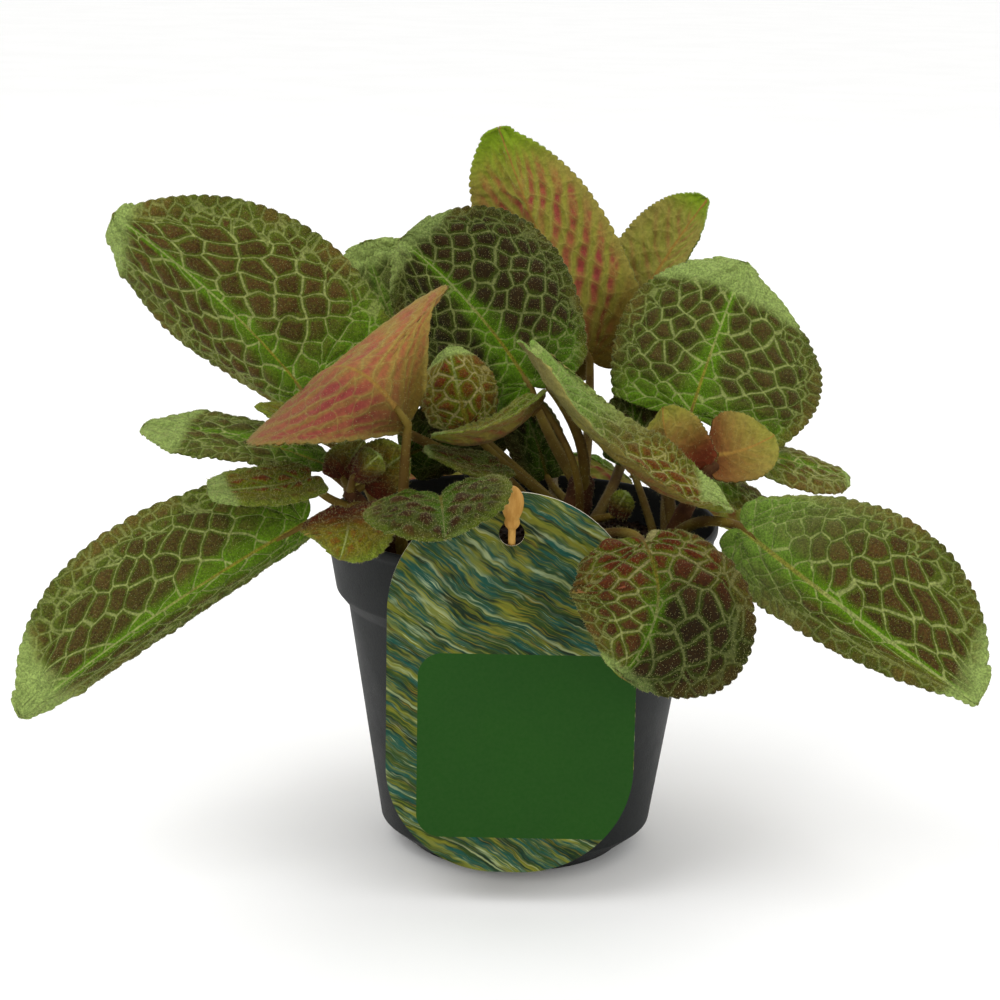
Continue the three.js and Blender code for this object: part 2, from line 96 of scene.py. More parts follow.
def placeLights():
    world = bpy.data.worlds.new("studio")
    world.use_nodes = True
    background = world.node_tree.nodes["Background"]
    background.inputs["Color"].default_value = (1, 1, 1, 1)
    background.inputs["Strength"].default_value = studio["sky"]
    scene.world = world
    scene.view_settings.view_transform = "Standard"
    for index, (place, size, watts) in enumerate(studio["lamps"]):
        lampData = bpy.data.lights.new("lamp", "AREA")
        lampData.shape = "DISK"
        lampData.size = size
        lampData.energy = watts
        lamp = newObject("lamp_%d" % index, lampData)
        lamp.location = place
        aim = Vector(studio["aim"]) - Vector(place)
        lamp.rotation_euler = aim.to_track_quat("-Z", "Y").to_euler()


placeCamera()
placeLights()
print("camera and lights placed")


def paint(red, green, blue):
    def linear(value):
        share = value / 255
        return share / 12.92 if share < 0.04045 else ((share + 0.055) / 1.055) ** 2.4

    return (linear(red), linear(green), linear(blue), 1)


# The node helpers below work in material trees and in geometry trees alike.
def feed(tree, socket, value):
    if isinstance(value, bpy.types.NodeSocket):
        tree.links.new(value, socket)
    else:
        socket.default_value = value


# Adds a node with its settings and feeds its inputs, which are named or numbered.
def addNode(tree, kind, given=(), **settings):
    node = tree.nodes.new(kind)
    for name, value in settings.items():
        setattr(node, name, value)
    for name, value in dict(given).items():
        feed(tree, node.inputs[name], value)
    return node


def calc(tree, operation, *values, clamp=False):
    node = addNode(tree, "ShaderNodeMath", enumerate(values), operation=operation, use_clamp=clamp)
    return node.outputs[0]


def times(tree, *values, clamp=False):
    return calc(tree, "MULTIPLY", *values, clamp=clamp)


def timesPlus(tree, *values, clamp=False):
    return calc(tree, "MULTIPLY_ADD", *values, clamp=clamp)


def plus(tree, first, second):
    return calc(tree, "ADD", first, second)


def minus(tree, first, second):
    return calc(tree, "SUBTRACT", first, second)


def larger(tree, first, second):
    return calc(tree, "MAXIMUM", first, second)


def smaller(tree, first, second):
    return calc(tree, "MINIMUM", first, second)


def ramp(tree, value, low, high, toLow=0.0, toHigh=1.0):
    given = {"Value": value, "From Min": low, "From Max": high, "To Min": toLow, "To Max": toHigh}
    node = addNode(tree, "ShaderNodeMapRange", given, interpolation_type="SMOOTHSTEP")
    return node.outputs["Result"]


def blend(tree, share, first, second):
    given = {0: share, 6: first, 7: second}
    return addNode(tree, "ShaderNodeMix", given, data_type="RGBA").outputs[2]


def blendNumbers(tree, share, first, second):
    return addNode(tree, "ShaderNodeMix", {0: share, 2: first, 3: second}).outputs[0]


def cloud(tree, place, scale, detail=2.0, rough=0.5):
    given = {"Vector": place, "Scale": scale, "Detail": detail, "Roughness": rough}
    return addNode(tree, "ShaderNodeTexNoise", given).outputs["Fac"]


def vector(tree, x, y, z):
    return addNode(tree, "ShaderNodeCombineXYZ", {0: x, 1: y, 2: z}).outputs[0]


def split(tree, value):
    return addNode(tree, "ShaderNodeSeparateXYZ", {0: value}).outputs[:]


def scaled(tree, value, factor):
    given = {0: value, "Scale": factor}
    return addNode(tree, "ShaderNodeVectorMath", given, operation="SCALE").outputs[0]


# Each socket is given by its name and its kind, such as Vector, Float or Color.
def newGroup(name, kind, inputs, outputs):
    group = bpy.data.node_groups.new(name, kind)
    for way, sockets in (("INPUT", inputs), ("OUTPUT", outputs)):
        for title, socketKind in sockets:
            group.interface.new_socket(title, in_out=way, socket_type="NodeSocket" + socketKind)
    return group, group.nodes.new("NodeGroupInput"), group.nodes.new("NodeGroupOutput")


def geometryGroup(name):
    return newGroup(name, "GeometryNodeTree", [("Geometry", "Geometry")], [("Geometry", "Geometry")])


net = {
    "lean": 0.42,  # how far the side veins run towards the tip, as a share of the length
    "basal": 2.4,  # side veins that fan out from the very base
    "cell": 7.4,  # mean distance between cross veins, mm
    "ragged": 0.5,  # how irregular the cells are
    "marginCell": 4.0,  # cell size near the margin, mm
    "arch": 6.0,  # how far from the margin the side veins join up, mm
    "wobble": 0.55,  # how far the side veins stray, in rows
    "pace": (0.75, 0.65),  # how the way along a side vein grows along and across the leaf
}


def cells(tree, dimensions, feature, place, scale, ragged):
    given = {"Vector": place, "Scale": scale, "Randomness": ragged}
    settings = {"voronoi_dimensions": dimensions, "feature": feature}
    return addNode(tree, "ShaderNodeTexVoronoi", given, **settings).outputs


# The vein net of a leaf. Place holds the share of the length, the signed share of the half width and the
# half width in mm. Kind holds the number of side veins, the length in mm and a seed.
def leafNet(kind):
    t, start, end = newGroup(
        "leafNet",
        kind,
        [("Place", "Vector"), ("Kind", "Vector")],
        [
            (title, "Float")
            for title in ("Vein", "Cell", "Bulge", "Margin", "Rib", "Along", "Shade", "Fine", "Side")
        ],
    )
    along, across, half = split(t, start.outputs["Place"])
    veins, length, seed = split(t, start.outputs["Kind"])
    reach = calc(t, "ABSOLUTE", across)
    side = calc(t, "SIGN", across)
    rib = times(t, reach, half)
    margin = minus(t, half, rib)
    forward = times(t, along, length)
    flat = vector(t, forward, times(t, across, half), seed)
    drift = minus(t, cloud(t, flat, 0.11, 1.0), 0.5)

    lean = times(t, calc(t, "POWER", reach, 1.25), net["lean"])
    risen = minus(t, along, lean)
    upper = times(t, risen, veins)
    fan = calc(t, "DIVIDE", risen, larger(t, lean, 0.02))
    lower = larger(t, times(t, fan, net["basal"]), -2.6)
    rows = blendNumbers(t, calc(t, "GREATER_THAN", risen, 0.0), lower, upper)
    rows = plus(t, rows, times(t, side, 0.22))
    rows = plus(t, rows, times(t, drift, net["wobble"]))
    inRow = calc(t, "FRACT", rows)
    toSide = smaller(t, inRow, minus(t, 1.0, inRow))
    rowHeight = times(t, calc(t, "DIVIDE", length, veins), 0.6)
    middle = minus(t, inRow, 0.5)

    onward, outward = net["pace"]
    steps = timesPlus(t, rib, outward, times(t, forward, onward))
    steps = calc(t, "DIVIDE", steps, net["cell"])
    steps = times(t, steps, timesPlus(t, reach, 0.25, 1.0))
    steps = plus(t, steps, times(t, drift, 0.9))
    shift = timesPlus(t, seed, 7.3, times(t, side, 31.0))
    laid = vector(t, plus(t, rows, net["ragged"] / 2 - 0.5), plus(t, steps, shift), 0.0)
    unit = timesPlus(t, rowHeight, 0.5, net["cell"] / 2)
    edges = cells(t, "2D", "DISTANCE_TO_EDGE", laid, 1.0, net["ragged"])["Distance"]
    middles = cells(t, "2D", "F1", laid, 1.0, net["ragged"])
    inner = times(t, edges, unit)
    farOut = larger(t, minus(t, middles["Distance"], 0.42), 0.0)
    corner = times(t, farOut, unit)

    outer = cells(t, "3D", "DISTANCE_TO_EDGE", flat, 1 / net["marginCell"], 0.8)["Distance"]
    outer = times(t, outer, net["marginCell"])
    bow = times(t, times(t, middle, middle), 3.0)
    archPlace = times(t, plus(t, 0.75, bow), net["arch"])
    archPlace = smaller(t, archPlace, times(t, half, 0.4))
    beyond = minus(t, archPlace, margin)
    arch = calc(t, "ABSOLUTE", times(t, beyond, 0.7))
    isOuter = calc(t, "GREATER_THAN", beyond, 0.0)
    distance = smaller(t, blendNumbers(t, isOuter, inner, outer), arch)
    distance = smaller(t, distance, rib)
    tight = minus(t, 1.0, times(t, isOuter, 0.45))

    main = ramp(t, toSide, 0.3, 0.12)
    width = timesPlus(t, main, 0.16, 0.38)
    innerLine = ramp(t, inner, width, times(t, width, 0.3))
    innerLine = times(t, innerLine, timesPlus(t, main, 0.25, 0.75))
    innerLine = times(t, innerLine, minus(t, 1.0, isOuter))
    outerLine = times(t, ramp(t, outer, 0.36, 0.1), times(t, isOuter, 0.7))
    archLine = times(t, ramp(t, arch, 0.36, 0.1), 0.6)
    lines = larger(t, larger(t, innerLine, outerLine), archLine)

    bulge = ramp(t, distance, -0.4, times(t, tight, 2.8))
    bulge = times(t, bulge, minus(t, 1.0, times(t, isOuter, 0.4)))
    fine = cloud(t, flat, 1.5, 3.0, 0.7)
    rounded = minus(t, distance, times(t, corner, 0.3))
    rounded = plus(t, rounded, times(t, minus(t, fine, 0.5), 1.1))
    results = {
        "Vein": lines,
        "Cell": ramp(t, rounded, times(t, tight, 0.55), times(t, tight, 1.5)),
        "Bulge": bulge,
        "Margin": margin,
        "Rib": rib,
        "Along": along,
        "Shade": split(t, middles["Color"])[0],
        "Fine": fine,
        "Side": times(t, toSide, rowHeight),
    }
    for title, socket in results.items():
        t.links.new(socket, end.inputs[title])
    return t


shaderNet = leafNet("ShaderNodeTree")
reliefNet = leafNet("GeometryNodeTree")


def named(tree, name, kind):
    node = addNode(tree, "GeometryNodeInputNamedAttribute", {"Name": name}, data_type=kind)
    return node.outputs["Attribute"]


# Lifts the cells between the veins.
def reliefTree():
    tree, start, end = geometryGroup("quilting")
    given = {key: named(tree, "leaf" + key, "FLOAT_VECTOR") for key in ("Place", "Kind")}
    netNode = addNode(tree, "GeometryNodeGroup", given, node_tree=reliefNet)
    lift = times(tree, netNode.outputs["Bulge"], named(tree, "leafLift", "FLOAT"))
    offset = scaled(tree, addNode(tree, "GeometryNodeInputNormal").outputs[0], lift)
    given = {"Geometry": start.outputs[0], "Offset": offset}
    move = addNode(tree, "GeometryNodeSetPosition", given)
    tree.links.new(move.outputs[0], end.inputs[0])
    return tree


quilting = reliefTree()


def bumpy(tree, height, strength, distance):
    given = {"Strength": strength, "Distance": distance, "Height": height}
    return addNode(tree, "ShaderNodeBump", given).outputs[0]


def newMaterial(name, roughness, specular, sheen=0.0, sheenTint=(1, 1, 1, 1)):
    material = bpy.data.materials.new(name)
    material.use_nodes = True
    shader = material.node_tree.nodes["Principled BSDF"]
    given = {
        "Roughness": roughness, "Specular IOR Level": specular, "Sheen Weight": sheen,
        "Sheen Roughness": 0.45, "Sheen Tint": sheenTint,
    }
    for title, value in given.items():
        shader.inputs[title].default_value = value
    return material, material.node_tree, shader


# Links tones, gloss and bumps to a material's shader.
def dress(tree, shader, given):
    for title, socket in given.items():
        tree.links.new(socket, shader.inputs[title])


def attribute(tree, name, output="Vector"):
    return addNode(tree, "ShaderNodeAttribute", attribute_name=name).outputs[output]


def objectPlace(tree):
    return tree.nodes.new("ShaderNodeTexCoord").outputs["Object"]


def placeGroup(tree, group, given):
    return addNode(tree, "ShaderNodeGroup", given, node_tree=group).outputs


def netNodes(tree):
    return placeGroup(tree, shaderNet, {key: attribute(tree, "leaf" + key) for key in ("Place", "Kind")})


# Lightens and darkens a tone in specks: painted highlights of the short down, with darker specks between
# them.
def downGlintGroup():
    group, start, end = newGroup(
        "downGlints",
        "ShaderNodeTree",
        [
            ("Place", "Vector"), ("Tone", "Color"), ("Scale", "Float"), ("Darkest", "Float"),
            ("Lightest", "Float"),
        ],
        [("Tone", "Color"), ("Height", "Float")],
    )
    given = start.outputs
    height = cloud(group, given["Place"], given["Scale"], 3, 0.7)
    share = ramp(group, height, 0.3, 0.72, given["Darkest"], given["Lightest"])
    group.links.new(scaled(group, given["Tone"], share), end.inputs["Tone"])
    group.links.new(height, end.inputs["Height"])
    return group


downGlints = downGlintGroup()


# The look of a leaf holds how dark its cells are, how pale its tip is, and how warm and thin it looks.
# A darkness over 1 dims the whole leaf as painted shade, for leaves that lie in shade.
def downGlintsAndShade(tree, place, tone, scale, dark, darkest, lightest):
    shadeDim = smaller(tree, minus(tree, 2.0, dark), 1.0)
    given = {
        "Place": place, "Tone": tone, "Scale": scale, "Darkest": times(tree, shadeDim, darkest),
        "Lightest": times(tree, shadeDim, lightest),
    }
    return placeGroup(tree, downGlints, given)


upperFace = {
    "chocolate": paint(54, 38, 14),
    "chocolateLight": paint(74, 52, 24),
    "black": paint(30, 26, 8),  # cells of the coolest leaves, partly their own tone and partly painted shade
    "deepGreen": paint(46, 54, 10),  # the green between them, partly its own tone and partly painted shade
    "rust": paint(104, 44, 18),
    "green": paint(70, 82, 20),
    "greenWarm": paint(104, 100, 22),
    "ribGreen": paint(76, 112, 10),
    "olive": paint(102, 84, 34),
    "vein": paint(138, 146, 84),
    "cream": paint(172, 156, 104),  # veins of the warm leaves
    "rib": paint(124, 112, 34),
    "pale": paint(134, 154, 82),
    "rim": paint(108, 126, 38),  # margins of the smooth leaves
    "umber": paint(66, 26, 10),  # the bases of the youngest leaves
}


def upperMaterial():
    material, t, shader = newMaterial("leafUpper", 0.82, 0.08, 0.05, paint(225, 228, 190))
    out = netNodes(t)
    dark, pale, warm = split(t, attribute(t, "leafLook"))
    netShare = attribute(t, "leafNet", "Fac")
    place = objectPlace(t)
    broad = cloud(t, place, 55, 2)
    look = upperFace

    chocolate = blend(t, out["Shade"], look["chocolate"], look["chocolateLight"])
    # A warmth under 0 blackens the cells, darkens the green and fades the veins: partly the leaf's own
    # cool tone, partly painted shade.
    coolAndShade = times(t, warm, -1.0, clamp=True)
    chocolate = blend(t, coolAndShade, chocolate, look["black"])
    warm = larger(t, warm, 0.0)
    chocolate = blend(t, warm, chocolate, look["rust"])
    green = blend(t, warm, look["green"], look["greenWarm"])
    green = blend(t, coolAndShade, green, look["deepGreen"])
    toTip = minus(t, 1.0, out["Along"])
    ribReach = timesPlus(t, calc(t, "POWER", toTip, 1.6), 12.0, 1.0)
    nearRib = ramp(t, out["Rib"], ribReach, times(t, ribReach, 0.25))
    nearBase = ramp(t, out["Along"], 0.27, 0.03)
    fresh = larger(t, nearRib, nearBase)
    fresh = times(t, fresh, timesPlus(t, warm, -0.7, 1.0))
    base = blend(t, fresh, green, look["ribGreen"])

    presence = times(t, out["Cell"], timesPlus(t, fresh, -0.72, 1.0))
    uneven = ramp(t, out["Fine"], 0.36, 0.56)
    presence = times(t, presence, timesPlus(t, uneven, 0.42, 0.62))
    presence = times(t, presence, dark, clamp=True)
    tone = blend(t, presence, base, chocolate)

    edge = ramp(t, out["Margin"], 6.5, 0.8)
    border = blend(t, ramp(t, broad, 0.4, 0.6), look["olive"], look["green"])
    tone = blend(t, times(t, edge, 0.55), tone, border)
    veinShare = times(t, out["Vein"], timesPlus(t, edge, -0.3, 0.82))
    veinShare = times(t, veinShare, timesPlus(t, coolAndShade, -0.35, 1.0))
    veinShare = times(t, veinShare, netShare)
    veinTone = blend(t, times(t, warm, 0.8), look["vein"], look["cream"])
    tone = blend(t, veinShare, tone, veinTone)
    rimShare = times(t, ramp(t, out["Margin"], 3.0, 0.5), minus(t, 1.0, netShare))
    tone = blend(t, times(t, rimShare, 0.75), tone, look["rim"])
    ribWidth = timesPlus(t, toTip, 0.6, 0.25)
    ribLine = ramp(t, out["Rib"], ribWidth, times(t, ribWidth, 0.4))
    ribTone = blend(t, ramp(t, out["Along"], 0.25, 0.6), look["rib"], look["vein"])
    tone = blend(t, times(t, ribLine, 0.85), tone, ribTone)

    milky = timesPlus(t, dark, -0.6, 0.6, clamp=True)
    milky = times(t, milky, minus(t, 1.0, warm), clamp=True)
    tone = blend(t, milky, tone, look["pale"])
    youngest = ramp(t, times(t, warm, minus(t, 1.0, dark)), 0.1, 0.4)
    youngest = times(t, youngest, ramp(t, out["Along"], 0.85, 0.15))
    tone = blend(t, youngest, tone, look["umber"])
    unevenTip = times(t, minus(t, broad, 0.5), 0.22)
    tipPlace = plus(t, out["Along"], unevenTip)
    tipStart = timesPlus(t, pale, -0.25, 1.0)
    tipShare = ramp(t, tipPlace, tipStart, plus(t, tipStart, 0.07))
    tone = blend(t, times(t, tipShare, 0.9), tone, look["pale"])

    down = downGlintsAndShade(t, place, tone, 1500.0, dark, 0.62, 1.46)
    height = timesPlus(t, down["Height"], 0.55, out["Bulge"])
    height = minus(t, height, times(t, out["Vein"], 0.35))
    dress(t, shader, {
        "Base Color": down["Tone"], "Normal": bumpy(t, height, 0.8, 0.0007),
        "Roughness": ramp(t, down["Height"], 0.3, 0.8, 0.76, 0.92),
    })
    return material


lowerFace = {
    "rose": paint(148, 88, 54),
    "roseDeep": paint(142, 62, 54),
    "green": paint(130, 130, 46),
    "pale": paint(146, 144, 86),
    "deepGreen": paint(84, 68, 12),
    "edge": paint(138, 128, 56),
    "tip": paint(114, 140, 24),
    "vein": paint(150, 138, 66),
    "rib": paint(146, 112, 48),
    "umber": paint(104, 46, 22),  # the bases of the youngest leaves
}


def lowerMaterial():
    material, t, shader = newMaterial("leafLower", 0.75, 0.12, 0.05, paint(235, 225, 205))
    out = netNodes(t)
    dark, pale, warm = split(t, attribute(t, "leafLook"))
    warm = larger(t, warm, 0.0)
    place = objectPlace(t)
    broad = cloud(t, place, 70, 2)
    look = lowerFace
    rose = blend(t, ramp(t, broad, 0.35, 0.65), look["rose"], look["roseDeep"])
    patchy = ramp(t, cloud(t, place, 45, 2), 0.3, 0.52)
    between = ramp(t, out["Side"], 0.3, 2.2)
    between = times(t, between, timesPlus(t, out["Cell"], 0.3, 0.7))
    share = blend(t, warm, times(t, between, patchy), timesPlus(t, between, 0.4, 0.5))
    share = times(t, share, dark, clamp=True)
    tone = blend(t, share, look["green"], rose)
    veinShare = times(t, out["Vein"], 0.4)
    tone = blend(t, veinShare, tone, look["vein"])
    tone = blend(t, ramp(t, out["Along"], 0.32, -0.05), tone, look["deepGreen"])
    edge = times(t, ramp(t, out["Margin"], 4.0, 0.5), timesPlus(t, warm, -0.5, 1.0))
    tone = blend(t, edge, tone, look["edge"])
    milky = timesPlus(t, dark, -0.5, 0.5, clamp=True)
    milky = times(t, milky, minus(t, 1.0, warm), clamp=True)
    tone = blend(t, milky, tone, look["pale"])
    tipShare = times(t, ramp(t, out["Along"], 0.72, 0.98), pale, clamp=True)
    tone = blend(t, tipShare, tone, look["tip"])
    youngest = ramp(t, times(t, warm, minus(t, 1.0, dark)), 0.1, 0.4)
    tone = blend(t, times(t, youngest, ramp(t, out["Along"], 0.9, 0.1)), tone, look["umber"])
    ribWidth = timesPlus(t, minus(t, 1.0, out["Along"]), 1.0, 0.25)
    tone = blend(t, ramp(t, out["Rib"], ribWidth, 0.1), tone, look["rib"])
    down = downGlintsAndShade(t, place, tone, 800.0, dark, 0.84, 1.18)
    height = timesPlus(t, out["Vein"], 0.6, times(t, down["Height"], 0.4))
    dress(t, shader, {"Base Color": down["Tone"], "Normal": bumpy(t, height, 0.5, 0.0004)})
    return material


# Grain for the plainer surfaces: two tones, a bump and an uneven gloss.
def grainGroup():
    group, start, end = newGroup(
        "grain",
        "ShaderNodeTree",
        [
            ("Place", "Vector"), ("Stretch", "Vector"), ("Scale", "Float"), ("First", "Color"),
            ("Second", "Color"), ("Roughness", "Float"), ("Depth", "Float"),
        ],
        [("Tone", "Color"), ("Roughness", "Float"), ("Normal", "Vector")],
    )
    given = start.outputs
    places = {0: given["Place"], 1: given["Stretch"]}
    stretched = addNode(group, "ShaderNodeVectorMath", places, operation="MULTIPLY")
    grain = cloud(group, stretched.outputs[0], given["Scale"], 4, 0.6)
    share = ramp(group, grain, 0.3, 0.7)
    glossy = minus(group, given["Roughness"], 0.06)
    dull = plus(group, given["Roughness"], 0.06)
    group.links.new(blend(group, share, given["First"], given["Second"]), end.inputs["Tone"])
    group.links.new(ramp(group, grain, 0.3, 0.7, glossy, dull), end.inputs["Roughness"])
    group.links.new(bumpy(group, grain, 0.6, given["Depth"]), end.inputs["Normal"])
    return group


grainNodes = grainGroup()


def plainMaterial(name, first, second, scale, roughness, depth, sheen=0.0, stretch=(1, 1, 1)):
    material, t, shader = newMaterial(name, roughness, 0.14, sheen, paint(235, 228, 210))
    given = {
        "Place": objectPlace(t), "Stretch": stretch, "Scale": scale, "First": paint(*first),
        "Second": paint(*second), "Roughness": roughness, "Depth": depth,
    }
    out = placeGroup(t, grainNodes, given)
    dress(t, shader, {"Base Color": out["Tone"], "Roughness": out["Roughness"], "Normal": out["Normal"]})
    return material


upper = upperMaterial()
lower = lowerMaterial()
hair = plainMaterial("leafHair", (168, 164, 110), (128, 124, 70), 60, 0.7, 0.0)
stalkFinish = plainMaterial("stalk", (108, 92, 30), (80, 58, 18), 90, 0.65, 0.0003)
stemFinish = plainMaterial("stem", (80, 48, 20), (48, 24, 10), 160, 0.75, 0.0004)
compost = plainMaterial("compost", (46, 28, 12), (20, 11, 5), 420, 0.95, 0.0006)
print("leaf materials made")


# Sets a copy of a shape on each of the points spread over a piece, and joins them to the piece.
def scatter(tree, start, end, spread, shape, material, turned, size):
    given = {"Geometry": shape.outputs["Mesh"], "Material": material}
    dressed = addNode(tree, "GeometryNodeSetMaterial", given)
    given = {
        "Points": spread.outputs["Points"], "Instance": dressed.outputs[0], "Rotation": turned,
        "Scale": size,
    }
    place = addNode(tree, "GeometryNodeInstanceOnPoints", given)
    real = addNode(tree, "GeometryNodeRealizeInstances", {0: place.outputs[0]})
    join = addNode(tree, "GeometryNodeJoinGeometry", {0: start.outputs[0]})
    tree.links.new(real.outputs[0], join.inputs[0])
    tree.links.new(join.outputs[0], end.inputs[0])
    return tree


def randomVector(tree, low, high):
    node = addNode(tree, "FunctionNodeRandomValue", data_type="FLOAT_VECTOR")
    node.inputs[0].default_value = low
    node.inputs[1].default_value = high
    return node.outputs[0]


hairs = {
    "density": 0.5e6,  # hairs on a square metre for each unit of fuzz
    "under": 0.3,  # share of them that the lower face has
    "radius": 0.000048, "tilt": 0.7, "uneven": (0.55, 1.25), "seed": 7,
}
fullTurn = 6.28


# Spikes on the faces, as many as the fuzz attribute says and as long as fuzzLength, in mm.
def fuzzTree():
    tree, start, end = geometryGroup("fuzz")
    lowerSide = calc(tree, "COMPARE", addNode(tree, "GeometryNodeInputMaterialIndex").outputs[0], 1.0, 0.1)
    share = timesPlus(tree, lowerSide, hairs["under"] - 1, 1.0)
    density = times(tree, times(tree, named(tree, "fuzz", "FLOAT"), share), hairs["density"])
    given = {"Mesh": start.outputs[0], "Density": density, "Seed": hairs["seed"]}
    spread = addNode(tree, "GeometryNodeDistributePointsOnFaces", given, distribute_method="RANDOM")
    given = {"Vertices": 3, "Radius Top": 0.0, "Radius Bottom": hairs["radius"], "Depth": mm}
    spike = addNode(tree, "GeometryNodeMeshCone", given, fill_type="NONE")
    tilt = hairs["tilt"]
    given = {
        "Rotation": spread.outputs["Rotation"],
        1: randomVector(tree, (-tilt, -tilt, 0), (tilt, tilt, fullTurn)),
    }
    turned = addNode(tree, "FunctionNodeRotateEuler", given, rotation_type="EULER", space="LOCAL")
    shortest, longest = hairs["uneven"]
    size = addNode(tree, "FunctionNodeRandomValue", {2: shortest, 3: longest})
    tall = times(tree, size.outputs[1], named(tree, "fuzzLength", "FLOAT"))
    return scatter(tree, start, end, spread, spike, hair, turned.outputs[0], vector(tree, 1.0, 1.0, tall))


fuzz = fuzzTree()

blade = {
    "thickness": 0.5,
    "sweep": 0.13,  # how far the rows bend towards the tip on their way to the margin
    "widest": 0.42, "round": 0.93,  # shares of the length: the widest place, the start of the round tip
    "bow": 0.35, "lift": 1.2,  # height of the rows and of the cells between the veins, mm
    "tooth": 0.9, "longWave": 1.3, "shortWave": 0.9,  # mm
    "fullTooth": 18, "fullWave": 20, "fullLift": 14,  # half widths from which these are at their full, mm
    "crowding": 0.85,  # under 1 the columns crowd towards the margin
    "edge": 0.1, "edgeHairs": 1.5,  # width of the hairy margin as a share, and how many more hairs it has
    "merge": 0.00003,  # vertices closer than this are merged, in metres
}
stalk = {
    "foot": 2.0, "top": 1.3, "sides": 10, "steps": 14, "small": 0.75, "fuzz": (0.8, 0.9),
    "seat": 0.1, "seatRadius": 0.6,  # where it ends under the blade, and how thin, as shares
    "below": (0.9, 0.7),  # how far under the blade it arrives and ends, mm
}
stems = {
    "main": {"axis": [(13, 0, 66), (14, -2, 88), (18, -5, 114)], "radii": (5.2, 4.2)},
    "left": {"axis": [(-27, -17, 68), (-32, -22, 94), (-50, -33, 116)], "radii": (3.4, 2.4)},
    "right": {"axis": [(38, 2, 68), (42, 0, 94), (58, 4, 118)], "radii": (3.4, 2.4)},
}


def bezier(points, t):
    a, b, c = (Vector(p) for p in points)
    return a * (1 - t) ** 2 + b * (2 * t * (1 - t)) + c * t * t


def bezierTangent(points, t):
    a, b, c = (Vector(p) for p in points)
    return ((b - a) * (1 - t) + (c - b) * t).normalized()


# The same surface as the solid leaf: v runs from the left margin, -1, to the right one, 1.
def leafSurface(leaf):
    base, middle, tip = (Vector(point) for point in leaf["rib"])
    control = middle * 2 - (base + tip) / 2
    rib = (base, control, tip)
    steps = [bezier(rib, i / 60) for i in range(61)]
    length = sum((b - a).length for a, b in zip(steps, steps[1:]))
    widestTangent = bezierTangent(rib, blade["widest"])
    sides = []
    for index, widest in enumerate(leaf["sides"]):
        out = Vector(widest) - bezier(rib, blade["widest"])
        out -= widestTangent * out.dot(widestTangent)
        normal = out.normalized().cross(widestTangent) * (1 if index else -1)
        sides.append((out.normalized(), out.length, normal))
    wavy = random.Random(leaf["seed"]).uniform(0, 50)
    roundFrom = leaf.get("round", blade["round"])

    def place(u, v, fine=True):
        index = 0 if v < 0 else 1
        reach = abs(v)
        outward, width, normal = sides[index]
        swell = leaf["swell"][index]
        swelling = math.sin(math.pi * min(swell + (1 - swell) * u, 1)) ** leaf["blunt"][index]
        if u > roundFrom:
            atRound = math.sin(math.pi * (swell + (1 - swell) * roundFrom)) ** leaf["blunt"][index]
            past = (u - roundFrom) / (1 - roundFrom)
            swelling = max(swelling, atRound * math.sqrt(max(1 - past**2, 0)))
        station = u + blade["sweep"] * reach**1.6 * 4 * u * (1 - u)
        station -= leaf["lobe"] * math.sin(math.pi * reach**0.75) * (1 - u) ** 5
        onRib = min(max(station, 0), 1)
        tangent = bezierTangent(rib, onRib)
        turn = widestTangent.rotation_difference(tangent)
        outward, normal = turn @ outward, turn @ normal
        bend = math.radians(leaf["arc"][index]) / 2
        angle = bend - 2 * bend * reach
        across = (math.sin(bend) - math.sin(angle)) / (2 * math.sin(bend))
        rise = (math.cos(angle) - math.cos(bend)) / (2 * math.sin(bend))
        w = width * swelling
        if fine:
            crenate = abs(math.sin(math.pi * leaf["teeth"] * u)) ** 0.6
            w += blade["tooth"] * crenate * reach**10 * min(1, width / blade["fullTooth"])
        point = bezier(rib, onRib) + tangent * ((station - onRib) * length) + outward * (w * across)
        bow = abs(math.sin(math.pi * leaf["rows"] * u / 2)) * blade["bow"] * math.sin(math.pi * reach)
        point += normal * (w * rise + bow)
        if fine:
            ripple = noise.noise(Vector((u * 4, v * 2.5, wavy))) * blade["longWave"]
            ripple += noise.noise(Vector((u * 13, v * 3, wavy + 9))) * blade["shortWave"] * reach**2
            ripple *= leaf.get("ripple", 1) * min(1, width / blade["fullWave"]) * min(1, reach * 4)
            point += normal * ripple
        return point, station, width * swelling, normal

    return place, length


def leafLayers(bm):
    vectors, numbers = bm.verts.layers.float_vector, bm.verts.layers.float
    layers = [vectors.get(n) or vectors.new(n) for n in ("leafPlace", "leafKind", "leafLook")]
    names = ("leafLift", "fuzz", "fuzzLength", "leafNet")
    return layers + [numbers.get(n) or numbers.new(n) for n in names]


